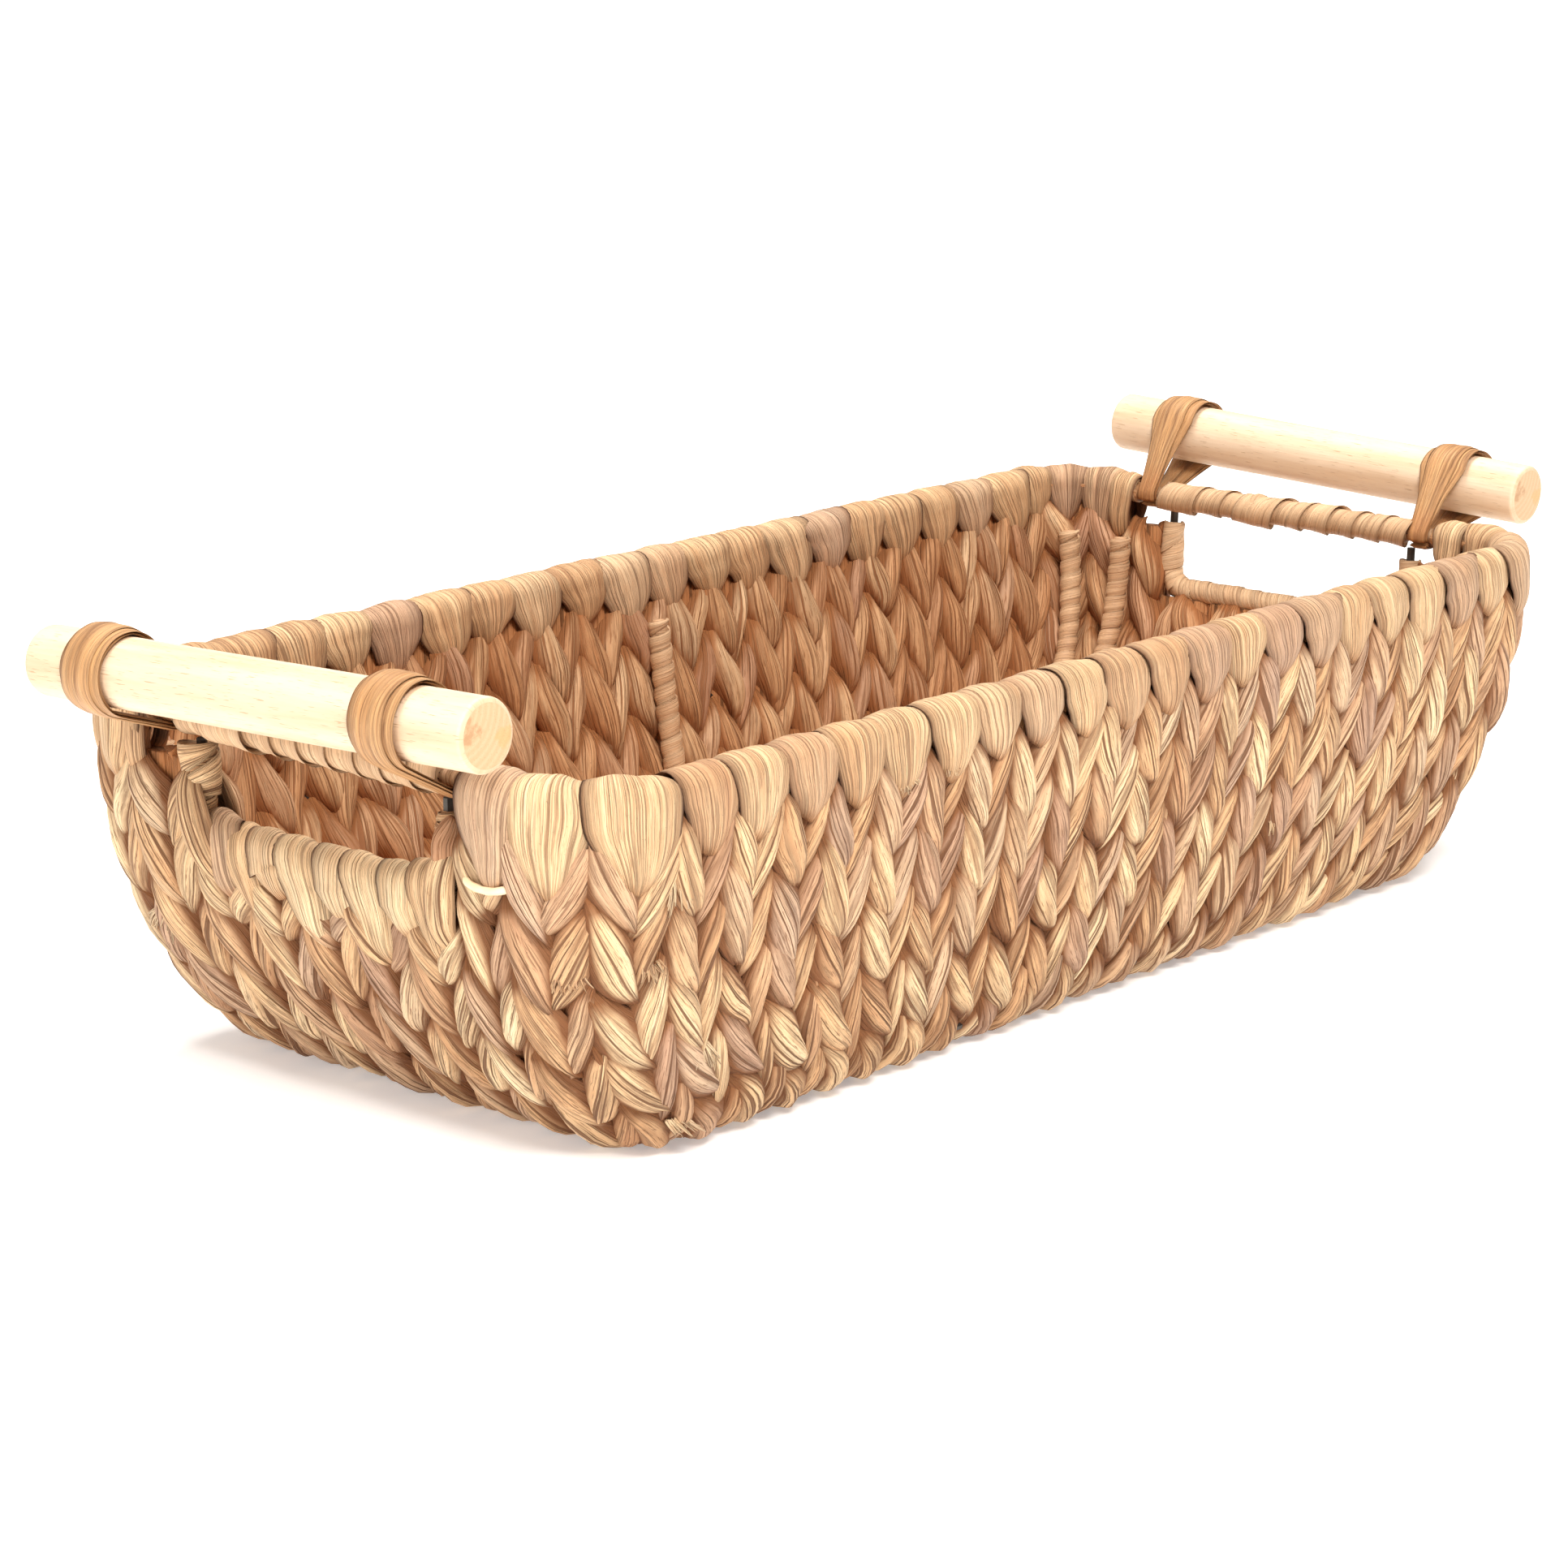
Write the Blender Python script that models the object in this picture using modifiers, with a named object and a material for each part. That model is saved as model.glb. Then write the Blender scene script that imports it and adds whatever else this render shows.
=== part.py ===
"""Long oval-cornered bread basket: water-hyacinth weave on a steel wire frame, with two wooden dowel handles.

Frame: +Z up, origin at the centre of the underside, +X along the length (the right-hand end), -Y towards the front.
All sizes are in metres. The outside of the weave is a flaring rounded rectangle: outline(z) has half-length,
half-width and corner radius that grow from the base to the rim. Everything in the wall is placed by
(station, height, depth): a station is a place along the outline, and depth is measured inwards, square to the wall.
"""

import math

import bmesh
import bpy
from mathutils import Matrix, Vector

# ---------------------------------------------------------------- driving dimensions
RIM_TOP = 0.110  # top of the rim above the table
BASE_HALF_L, RIM_HALF_L = 0.184, 0.2285  # half-length at the table and at the rim
BASE_HALF_W, RIM_HALF_W = 0.084, 0.1023  # half-width at the table and at the rim
END_FLARE, SIDE_FLARE = 3.2, 1.54  # how early the ends and the long sides flare
BASE_CORNER_R, RIM_CORNER_R = 0.025, 0.033

WALL = 0.012  # thickness of the weave
GAP = 0.0004  # clearance between neighbouring pieces
BASE_T = 0.009  # thickness of the base weave
BASE_PLATE_HALF_L, BASE_PLATE_HALF_W, BASE_PLATE_R = 0.176, 0.0735, 0.015

RIM_WIRE_R = 0.0020  # steel rim wire
RIM_WIRE_Z = 0.104
RING_WIRE_R = 0.0016  # steel wires that each row of the weave is twined round
RING_WIRE_Z = {"upper": 0.080, "mid": 0.059, "lower": 0.040, "bottom": 0.021, "base": 0.006}
BORDER_R = 0.006  # the rolled border over the rim wire
BORDER_T = 0.0025
BORDER_FOOT_Z = 0.083  # where the border's tongues end outside
BORDER_LIP_Z = 0.092  # and inside
WALL_TOP_Z = 0.099

SILL_Z = 0.072  # centre of the wire under each handle opening
SILL_BORDER_R = 0.0035
SILL_FOOT_Z, SILL_LIP_Z = 0.060, 0.0655
OPENING_Y = {"left": (-0.041, 0.044), "right": (-0.045, 0.043)}  # clear width of the handle openings
FRAME_WIRE_R = 0.0015
FRAME_WRAP_R = 0.0035
GRIP_WRAP_R = 0.0045

DOWEL_R, DOWEL_LENGTH = 0.0097, 0.1623
DOWEL_X, DOWEL_Z = 0.242, 0.1208
DOWEL_Y = {"left": 0.0036, "right": 0.0013}
DOWEL_TILT = {"left": math.radians(-2.2), "right": math.radians(2.0)}  # about +X
STRAP_Y = {"left": {"front": -0.0480, "back": 0.0600}, "right": {"front": -0.0530, "back": 0.0555}}
STRAP_W, STRAP_PINCH_W, STRAP_T = 0.016, 0.0070, 0.0015
STRAP_PLAY = 0.00045

POST_WIRE_R, POST_WRAP_R = 0.0015, 0.0035
POST_TOP_Z, POST_FOOT_Z = 0.088, 0.016
END_POST_Y = 0.0615

BASE_ROD_Y = (-0.050, -0.025, 0.0, 0.025, 0.050)

FIBRE = (0.71, 0.45, 0.24)
FIBRE_DARK = (0.52, 0.30, 0.15)
FIBRE_PALE = (0.80, 0.58, 0.35)
STRAP_TAN = (0.62, 0.38, 0.18)
STEEL = (0.55, 0.55, 0.56)
WOOD = (0.88, 0.77, 0.58)
CANE = (0.90, 0.78, 0.58)

# ---------------------------------------------------------------- clean scene and collections
for old in list(bpy.data.objects):
    bpy.data.objects.remove(old, do_unlink=True)

parts = bpy.data.collections.new("bread_basket")
cutters = bpy.data.collections.new("cutters")
bpy.context.scene.collection.children.link(parts)
bpy.context.scene.collection.children.link(cutters)


def material(name, colour, roughness=0.75, metallic=0.0):
    m = bpy.data.materials.new(name)
    m.use_nodes = True
    shader = m.node_tree.nodes["Principled BSDF"]
    shader.inputs["Base Color"].default_value = (*colour, 1.0)
    shader.inputs["Roughness"].default_value = roughness
    shader.inputs["Metallic"].default_value = metallic
    m.diffuse_color = (*colour, 1.0)
    return m


# ---------------------------------------------------------------- the outline of the basket
def half_length(z):
    return BASE_HALF_L + (RIM_HALF_L - BASE_HALF_L) * (1 - (1 - z / RIM_TOP) ** END_FLARE)


def half_width(z):
    return BASE_HALF_W + (RIM_HALF_W - BASE_HALF_W) * (1 - (1 - z / RIM_TOP) ** SIDE_FLARE)


def corner_radius(z):
    return BASE_CORNER_R + (RIM_CORNER_R - BASE_CORNER_R) * z / RIM_TOP


def rounded(station, a, b, r):
    """Plan point and outward plan normal of a station on a rounded rectangle."""
    kind = station[0]
    if kind == "side":  # (side, +-1 back or front, -1..1 along the straight)
        _, sy, f = station
        return Vector((f * (a - r), sy * b, 0)), Vector((0, sy, 0))
    if kind == "arc":  # (arc, sx, sy, angle from the side's normal to the end's)
        _, sx, sy, angle = station
        n = Vector((sx * math.sin(angle), sy * math.cos(angle), 0))
        return Vector((sx * (a - r), sy * (b - r), 0)) + r * n, n
    _, sx, y = station  # (end, +-1 right or left, y)
    return Vector((sx * a, y, 0)), Vector((sx, 0, 0))


def outside(station, z):
    p, n = rounded(station, half_length(z), half_width(z), corner_radius(z))
    p.z = z
    return p, n


def wall_point(station, z, depth):
    """The point at a depth inside the weave, square to the wall, behind the outside point at height z."""
    p, n = outside(station, z)
    dz = 0.0005
    hi, _ = outside(station, min(z + dz, RIM_TOP))
    lo, _ = outside(station, max(z - dz, 0))
    slope = (hi - lo).dot(n) / (hi.z - lo.z)
    normal = (n - Vector((0, 0, slope))).normalized()
    return p - depth * normal


ARC_STEPS = 5


def arc_stations(sx, sy, upward=True):
    angles = [math.pi / 2 * i / ARC_STEPS for i in range(ARC_STEPS + 1)]
    return [("arc", sx, sy, t) for t in (angles if upward else reversed(angles))]


def ring_stations():
    """Once round the basket, anticlockwise seen from above, from the front side."""
    return (
        [("side", -1, -0.98), ("side", -1, 0.98)]
        + arc_stations(1, -1)
        + arc_stations(1, 1, False)
        + [("side", 1, 0.98), ("side", 1, -0.98)]
        + arc_stations(-1, 1)
        + arc_stations(-1, -1, False)
    )


# ---------------------------------------------------------------- modelling helpers
def add_object(name, mesh, mat, smooth=40):
    mesh.materials.clear()
    mesh.materials.append(mat)
    obj = bpy.data.objects.new(name, mesh)
    parts.objects.link(obj)
    if smooth:
        mesh.shade_smooth()
        mesh.set_sharp_from_angle(angle=math.radians(smooth))
    return obj


def loft(name, sections, mat, smooth=40):
    """A closed solid through sections of equal point count, with its first and last section as its end faces."""
    bm = bmesh.new()
    loops = []
    for section in sections:
        verts = [bm.verts.new(p) for p in section]
        edges = [bm.edges.new((verts[i], verts[(i + 1) % len(verts)])) for i in range(len(verts))]
        loops.append((verts, edges))
    for (va, _), (vb, _) in zip(loops, loops[1:]):
        n = len(va)
        for i in range(n):
            j = (i + 1) % n
            bm.faces.new((va[i], va[j], vb[j], vb[i]))
    bm.faces.new(loops[0][0][::-1])
    bm.faces.new(loops[-1][0])
    bmesh.ops.recalc_face_normals(bm, faces=bm.faces)
    bmesh.ops.triangulate(bm, faces=bm.faces)
    mesh = bpy.data.meshes.new(name)
    bm.to_mesh(mesh)
    bm.free()
    return add_object(name, mesh, mat, smooth)


def wire_mesh(name, points, radius, cyclic=False, resolution=1):
    """A round wire through the points, as a closed mesh made from a bevelled curve."""
    curve = bpy.data.curves.new(name, "CURVE")
    curve.dimensions = "3D"
    curve.bevel_depth = radius
    curve.bevel_resolution = resolution
    curve.use_fill_caps = not cyclic
    spline = curve.splines.new("POLY")
    spline.points.add(len(points) - 1)
    for sp, p in zip(spline.points, points):
        sp.co = (*p, 1.0)
    spline.use_cyclic_u = cyclic
    temp = bpy.data.objects.new(name + "_curve", curve)
    bpy.context.scene.collection.objects.link(temp)
    evaluated = temp.evaluated_get(bpy.context.evaluated_depsgraph_get())
    mesh = bpy.data.meshes.new_from_object(evaluated)
    mesh.name = name
    mesh.transform(temp.matrix_world)
    bm = bmesh.new()
    bm.from_mesh(mesh)
    bmesh.ops.remove_doubles(bm, verts=bm.verts, dist=1e-6)
    bmesh.ops.recalc_face_normals(bm, faces=bm.faces)
    bm.to_mesh(mesh)
    bm.free()
    bpy.data.objects.remove(temp, do_unlink=True)
    return mesh


def wire(name, points, radius, mat, cyclic=False, resolution=1):
    return add_object(name, wire_mesh(name, points, radius, cyclic, resolution), mat)


def cutter(name, points, radius, cyclic=False, resolution=1):
    obj = bpy.data.objects.new(name, wire_mesh(name, points, radius, cyclic, resolution))
    cutters.objects.link(obj)
    obj.hide_render = True
    obj.display_type = "WIRE"
    return obj


def cut(obj, *tools):
    for tool in tools:
        m = obj.modifiers.new("tunnel_" + tool.name, "BOOLEAN")
        m.operation = "DIFFERENCE"
        m.solver = "EXACT"
        m.object = tool


def longer(points, by):
    """The same path with both ends run on straight."""
    first = points[0] + (points[0] - points[1]).normalized() * by
    last = points[-1] + (points[-1] - points[-2]).normalized() * by
    return [first, *points, last]


# ---------------------------------------------------------------- wire frame
steel = lambda name: material(name, STEEL, 0.35, 1.0)

ring_tools = {}
for level, z in RING_WIRE_Z.items():
    if level == "upper":
        continue
    path = [wall_point(s, z, WALL / 2) for s in ring_stations()]
    name = {"mid": "mid_ring_wire", "lower": "lower_ring_wire", "bottom": "bottom_ring_wire", "base": "base_ring_wire"}[level]
    wire(name, path, RING_WIRE_R, steel(name), cyclic=True)
    ring_tools[level] = cutter("tool_" + level, path, RING_WIRE_R + GAP, cyclic=True)

wire("rim_wire", [wall_point(s, RIM_WIRE_Z, WALL / 2) for s in ring_stations()], RIM_WIRE_R, steel("rim_wire"), cyclic=True, resolution=2)

# the uppermost row wires stop at the handle openings, one in front and one behind
FRAME_Y = {end: (lo - FRAME_WRAP_R, hi + FRAME_WRAP_R) for end, (lo, hi) in OPENING_Y.items()}
PANEL_EDGE_Y = {end: (lo - 2 * FRAME_WRAP_R - GAP, hi + 2 * FRAME_WRAP_R + GAP) for end, (lo, hi) in OPENING_Y.items()}
upper_tools = {}
for row, sy in (("front", -1), ("back", 1)):
    i = 0 if sy < 0 else 1
    ends = {e: PANEL_EDGE_Y[e][i] + sy * 0.002 for e in ("left", "right")}
    stations = (
        [("end", -1, ends["left"])]
        + arc_stations(-1, sy, False)
        + [("side", sy, -0.98), ("side", sy, 0.98)]
        + arc_stations(1, sy)
        + [("end", 1, ends["right"])]
    )
    path = [wall_point(s, RING_WIRE_Z["upper"], WALL / 2) for s in stations]
    name = row + "_upper_wire"
    wire(name, path, RING_WIRE_R, steel(name))
    upper_tools[row] = cutter("tool_upper_" + row, longer(path, 0.006), RING_WIRE_R + GAP)

# U-shaped wire round the sides and foot of each handle opening
frame_paths = {}
for end, sx in (("left", -1), ("right", 1)):
    y0, y1 = FRAME_Y[end]
    r = 0.008
    profile = [(y0, RIM_WIRE_Z - GRIP_WRAP_R - 0.0005)]
    for i in range(7):
        t = math.pi / 2 * i / 6
        profile.append((y0 + r - r * math.cos(t), SILL_Z + r - r * math.sin(t)))
    for i in range(7):
        t = math.pi / 2 * (1 - i / 6)
        profile.append((y1 - r + r * math.cos(t), SILL_Z + r - r * math.sin(t)))
    profile.append((y1, RIM_WIRE_Z - GRIP_WRAP_R - 0.0005))
    path = [wall_point(("end", sx, y), z, WALL / 2) for y, z in profile]
    frame_paths[end] = path
    name = end + "_opening_frame"
    wire(name, path, FRAME_WIRE_R, steel(name))


# ---------------------------------------------------------------- woven walls
def foot_points(station):
    p, _ = rounded(station, BASE_PLATE_HALF_L + GAP, BASE_PLATE_HALF_W + GAP, BASE_PLATE_R + GAP)
    return [p + Vector((0, 0, BASE_T + GAP)), p.copy()]


OUT_Z = [0.0, 0.005, 0.012, 0.021, 0.032, 0.045, 0.060, 0.074, BORDER_FOOT_Z - GAP]
IN_Z = [0.082, 0.066, 0.050, 0.036, 0.025, 0.016, 0.010]
CORE = BORDER_T + GAP  # depth of the wall's face behind the border


def wall_section(station):
    section = [wall_point(station, z, 0) for z in OUT_Z]
    section += [wall_point(station, BORDER_FOOT_Z - GAP, CORE), wall_point(station, WALL_TOP_Z, CORE)]
    section += [wall_point(station, WALL_TOP_Z, WALL - CORE), wall_point(station, BORDER_LIP_Z - GAP, WALL - CORE)]
    section += [wall_point(station, BORDER_LIP_Z - GAP, WALL)]
    section += [wall_point(station, z, WALL) for z in IN_Z]
    return section + foot_points(station)


def end_section(station):
    """Below the sill of a handle opening."""
    zs = [z for z in OUT_Z if z < SILL_FOOT_Z - 0.002] + [SILL_FOOT_Z - GAP]
    section = [wall_point(station, z, 0) for z in zs]
    section += [wall_point(station, SILL_FOOT_Z - GAP, CORE), wall_point(station, SILL_Z - 0.0025, CORE)]
    section += [wall_point(station, SILL_Z - 0.0025, WALL - CORE), wall_point(station, SILL_LIP_Z - GAP, WALL - CORE)]
    section += [wall_point(station, SILL_LIP_Z - GAP, WALL)]
    section += [wall_point(station, z, WALL) for z in IN_Z if z < SILL_LIP_Z - 0.004]
    return section + foot_points(station)


def plain_end_section(station):
    """The same where the frame is wound all round and the weave stops just under it."""
    top = SILL_Z - FRAME_WRAP_R - GAP
    section = [wall_point(station, z, 0) for z in OUT_Z if z < top - 0.004] + [wall_point(station, top, 0), wall_point(station, top, WALL)]
    section += [wall_point(station, z, WALL) for z in IN_Z if z < top - 0.004]
    return section + foot_points(station)


for name, sy in (("front_wall_weave", -1), ("back_wall_weave", 1)):
    stations = [("side", sy, f) for f in (-1 + 0.004, -0.6, -0.2, 0.2, 0.6, 1 - 0.004)]
    panel = loft(name, [wall_section(s) for s in stations], material(name, FIBRE))
    cut(panel, *ring_tools.values(), upper_tools["front" if sy < 0 else "back"])

for end, sx in (("left", -1), ("right", 1)):
    lo, hi = PANEL_EDGE_Y[end]
    for row, sy, edge in (("front", -1, lo), ("back", 1, hi)):
        name = f"{end}_{row}_corner_weave"
        stations = arc_stations(sx, sy) + [("end", sx, edge)]
        panel = loft(name, [wall_section(s) for s in stations], material(name, FIBRE))
        cut(panel, *ring_tools.values(), upper_tools[row])
    name = f"{end}_end_weave"
    stations = [("end", sx, y) for y in (lo + GAP, lo * 0.33, hi * 0.33, hi - GAP)]
    section = end_section if end == "left" else plain_end_section
    panel = loft(name, [section(s) for s in stations], material(name, FIBRE))
    cut(panel, *ring_tools.values())

# ---------------------------------------------------------------- base: a flat weave over steel rods
outline = bpy.data.curves.new("base_weave", "CURVE")
outline.dimensions = "2D"
outline.fill_mode = "BOTH"
outline.extrude = BASE_T / 2
base_loop = [rounded(s, BASE_PLATE_HALF_L, BASE_PLATE_HALF_W, BASE_PLATE_R)[0] for s in ring_stations() if s[0] == "arc"]
spline = outline.splines.new("POLY")
spline.points.add(len(base_loop) - 1)
for sp, p in zip(spline.points, base_loop):
    sp.co = (p.x, p.y, 0, 1)
spline.use_cyclic_u = True
temp = bpy.data.objects.new("base_outline", outline)
bpy.context.scene.collection.objects.link(temp)
temp.location.z = BASE_T / 2
bpy.context.view_layer.update()
base_mesh = bpy.data.meshes.new_from_object(temp.evaluated_get(bpy.context.evaluated_depsgraph_get()))
base_mesh.transform(temp.matrix_world)
bpy.data.objects.remove(temp, do_unlink=True)
bm = bmesh.new()
bm.from_mesh(base_mesh)
bmesh.ops.remove_doubles(bm, verts=bm.verts, dist=1e-6)
bmesh.ops.recalc_face_normals(bm, faces=bm.faces)
bm.to_mesh(base_mesh)
bm.free()
base = add_object("base_weave", base_mesh, material("base_weave", FIBRE_DARK))

for i, y in enumerate(BASE_ROD_Y):
    name = f"base_rod_{i + 1}"
    ends = [Vector((-BASE_PLATE_HALF_L + 0.001, y, BASE_T / 2)), Vector((BASE_PLATE_HALF_L - 0.001, y, BASE_T / 2))]
    wire(name, ends, RING_WIRE_R, steel(name))
    cut(base, cutter("tool_" + name, longer(ends, 0.004), RING_WIRE_R + GAP))

# ---------------------------------------------------------------- borders over the rim and over the left sill
def border_section(station, z, radius, wall, foot, lip, depth):
    """An inverted U over the wire at height z: a tongue outside down to foot, a lip inside down to lip."""
    mid, inner = depth, radius - wall
    out = [(mid - radius, foot), (mid - radius, z)]
    out += [(mid - radius * math.cos(math.pi * i / 6), z + radius * math.sin(math.pi * i / 6)) for i in range(1, 6)]
    out += [(mid + radius, z), (mid + radius, lip), (mid + inner, lip), (mid + inner, z)]
    out += [(mid + inner * math.cos(math.pi * i / 6), z + inner * math.sin(math.pi * i / 6)) for i in range(1, 6)]
    out += [(mid - inner, z), (mid - inner, foot)]
    return [wall_point(station, min(h, RIM_TOP), d) for d, h in out]


STRAP_CLEAR = STRAP_PINCH_W / 2 + 0.0007
for row, sy in (("front", -1), ("back", 1)):
    name = row + "_rim_border"
    y_left = STRAP_Y["left"][row] + sy * STRAP_CLEAR
    y_right = STRAP_Y["right"][row] + sy * STRAP_CLEAR
    stations = (
        [("end", -1, y_left)]
        + arc_stations(-1, sy, False)
        + [("side", sy, f) for f in (-0.5, 0.0, 0.5)]
        + arc_stations(1, sy)
        + [("end", 1, y_right)]
    )
    loft(name, [border_section(s, RIM_WIRE_Z, BORDER_R, BORDER_T, BORDER_FOOT_Z, BORDER_LIP_Z, WALL / 2) for s in stations], material(name, FIBRE_PALE))

# the left sill's tongues stand over its wire between the two posts
lo, hi = OPENING_Y["left"]
sill_stations = [("end", -1, y) for y in (lo + 0.0105, lo * 0.33, hi * 0.33, hi - 0.0105)]


def sill_section(station):
    mid, t = WALL / 2, BORDER_T
    top = SILL_Z + SILL_BORDER_R
    core = SILL_Z + FRAME_WIRE_R + GAP
    pts = [(0, SILL_FOOT_Z), (0, SILL_Z), (0.0015, top - 0.0010), (0.0035, top), (WALL - 0.0035, top), (WALL - 0.0015, top - 0.0010), (WALL, SILL_Z), (WALL, SILL_LIP_Z)]
    pts += [(WALL - t, SILL_LIP_Z), (WALL - t, SILL_Z), (mid + 0.0022, core), (mid - 0.0022, core), (t, SILL_Z), (t, SILL_FOOT_Z)]
    return [wall_point(station, h, d) for d, h in pts]


loft("left_sill_border", [sill_section(s) for s in sill_stations], material("left_sill_border", FIBRE_PALE))


# ---------------------------------------------------------------- wraps: hyacinth wound round the wires
def sleeve(name, points, outer, inner, mat, resolution=1):
    obj = wire(name, points, outer, mat, resolution=resolution)
    cut(obj, cutter("tool_" + name, longer(points, 0.003), inner, resolution=resolution))
    return obj


for end, sx in (("left", -1), ("right", 1)):
    y0 = STRAP_Y[end]["front"] + STRAP_CLEAR
    y1 = STRAP_Y[end]["back"] - STRAP_CLEAR
    path = [wall_point(("end", sx, y), RIM_WIRE_Z, WALL / 2) for y in (y0, (y0 + y1) / 2, y1)]
    sleeve(end + "_grip_wrap", path, GRIP_WRAP_R, RIM_WIRE_R + GAP, material(end + "_grip_wrap", FIBRE), resolution=2)

left = frame_paths["left"]
top_z = RIM_WIRE_Z - GRIP_WRAP_R - 0.0012
for name, y in (("left_front_post_wrap", FRAME_Y["left"][0]), ("left_back_post_wrap", FRAME_Y["left"][1])):
    zs = [SILL_Z + 0.0100, 0.090, top_z]
    path = [wall_point(("end", -1, y), z, WALL / 2) for z in zs]
    sleeve(name, path, FRAME_WRAP_R, FRAME_WIRE_R + GAP, material(name, FIBRE))

right = frame_paths["right"]
right_path = [right[0] - Vector((0, 0, 0.0008)), *right[1:-1], right[-1] - Vector((0, 0, 0.0008))]
sleeve("right_frame_wrap", right_path, FRAME_WRAP_R, FRAME_WIRE_R + GAP, material("right_frame_wrap", FIBRE))

# wrapped uprights against the inside of the walls
posts = {
    "front_middle": ("side", -1, 0.0),
    "back_middle": ("side", 1, 0.0),
}
for end, sx in (("left", -1), ("right", 1)):
    for row, sy in (("front", -1), ("back", 1)):
        posts[f"{end}_{row}_corner"] = ("arc", sx, sy, math.radians(45))
        posts[f"{end}_{row}_end"] = ("end", sx, sy * END_POST_Y)
POST_DEPTH = WALL + POST_WRAP_R + 0.0006
for label, station in posts.items():
    foot = POST_FOOT_Z if station[0] == "side" else 0.010
    zs = [POST_TOP_Z - (POST_TOP_Z - foot) * i / 5 for i in range(6)]
    path = [wall_point(station, z, POST_DEPTH) for z in zs]
    name = label + "_upright"
    wire(name, path, POST_WIRE_R, steel(name))
    inner_path = [path[0] - (path[0] - path[1]).normalized() * 0.0004, *path[1:-1], path[-1] - (path[-1] - path[-2]).normalized() * 0.0004]
    sleeve(label + "_upright_wrap", inner_path, POST_WRAP_R, POST_WIRE_R + GAP, material(label + "_upright_wrap", FIBRE_DARK))

# ---------------------------------------------------------------- handles: a dowel in two straps at each end
for end, sx in (("left", -1), ("right", 1)):
    rim_x = wall_point(("end", sx, 0), RIM_WIRE_Z, WALL / 2).x
    pivot = bpy.data.objects.new(end + "_handle_pivot", None)  # the handle swings about the rim wire
    pivot.location = (rim_x, 0, RIM_WIRE_Z)
    pivot.rotation_euler = (0, 0, 0)
    parts.objects.link(pivot)
    axis = bpy.data.objects.new(end + "_dowel_axis", None)  # the dowel turns in its straps
    axis.parent = pivot
    axis.location = (sx * DOWEL_X - rim_x, DOWEL_Y[end], DOWEL_Z - RIM_WIRE_Z)
    axis.rotation_euler = (DOWEL_TILT[end], 0, 0)
    parts.objects.link(axis)
    bpy.context.view_layer.update()

    name = end + "_dowel"
    bpy.ops.mesh.primitive_cylinder_add(vertices=32, radius=DOWEL_R, depth=DOWEL_LENGTH)
    dowel = bpy.context.active_object
    dowel.name = dowel.data.name = name
    for c in list(dowel.users_collection):
        c.objects.unlink(dowel)
    parts.objects.link(dowel)
    dowel.data.materials.append(material(name, WOOD, 0.5))
    dowel.parent = axis
    dowel.rotation_euler = (math.pi / 2, 0, 0)
    bevel = dowel.modifiers.new("rounded_ends", "BEVEL")
    bevel.width = 0.0016
    bevel.segments = 2
    bevel.limit_method = "ANGLE"
    bevel.angle_limit = math.radians(60)
    dowel.data.shade_smooth()
    dowel.data.set_sharp_from_angle(angle=math.radians(40))

    direction = (axis.matrix_world.to_3x3() @ Vector((0, 1, 0))).normalized()
    centre = axis.matrix_world.translation
    for row, y in STRAP_Y[end].items():
        name = f"{end}_{row}_strap"
        a = centre + direction * ((y - centre.y) / direction.y)  # on the dowel's axis
        b = Vector((rim_x, y, RIM_WIRE_Z))  # on the rim wire's axis
        ra = DOWEL_R + STRAP_PLAY + STRAP_T / 2
        rb = RIM_WIRE_R + STRAP_PLAY + STRAP_T / 2
        along = (a - b).normalized()
        across = along.cross(Vector((0, 1, 0))).normalized()
        lean = math.asin((ra - rb) / (a - b).length)
        belt = []  # (point, width share) once round: over the dowel, down to the rim wire and back
        n_big, n_small, n_run = 22, 6, 5
        start, stop = -math.pi / 2 - lean, math.pi / 2 + lean
        for i in range(n_big + 1):
            t = start + (stop - start) * i / n_big
            belt.append((a + ra * (math.cos(t) * along + math.sin(t) * across), 1.0))
        run_from = belt[-1][0]
        run_to = b + rb * (math.cos(stop) * along + math.sin(stop) * across)
        for i in range(1, n_run):
            belt.append((run_from.lerp(run_to, i / n_run), 1 - i / n_run))
        for i in range(n_small + 1):
            t = stop + (2 * math.pi - (stop - start)) * i / n_small
            belt.append((b + rb * (math.cos(t) * along + math.sin(t) * across), 0.0))
        run_from = belt[-1][0]
        for i in range(1, n_run):
            belt.append((run_from.lerp(belt[0][0], i / n_run), i / n_run))
        bm = bmesh.new()
        rows_ = []
        for p, share in belt:
            width = STRAP_PINCH_W + (STRAP_W - STRAP_PINCH_W) * max(0.0, share) ** 1.6
            side = Vector((0, 1, 0)).lerp(direction, share) * width / 2
            local = p - pivot.location
            rows_.append([bm.verts.new(local - side), bm.verts.new(local + side)])
        ring_a = [bm.edges.new((rows_[i][0], rows_[(i + 1) % len(rows_)][0])) for i in range(len(rows_))]
        ring_b = [bm.edges.new((rows_[i][1], rows_[(i + 1) % len(rows_)][1])) for i in range(len(rows_))]
        bmesh.ops.bridge_loops(bm, edges=ring_a + ring_b)
        bmesh.ops.recalc_face_normals(bm, faces=bm.faces)
        mesh = bpy.data.meshes.new(name)
        bm.to_mesh(mesh)
        bm.free()
        strap = add_object(name, mesh, material(name, STRAP_TAN, 0.55))
        strap.parent = pivot
        solid = strap.modifiers.new("strap_thickness", "SOLIDIFY")
        solid.thickness = STRAP_T
        solid.offset = 0
        solid.use_even_offset = True

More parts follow.
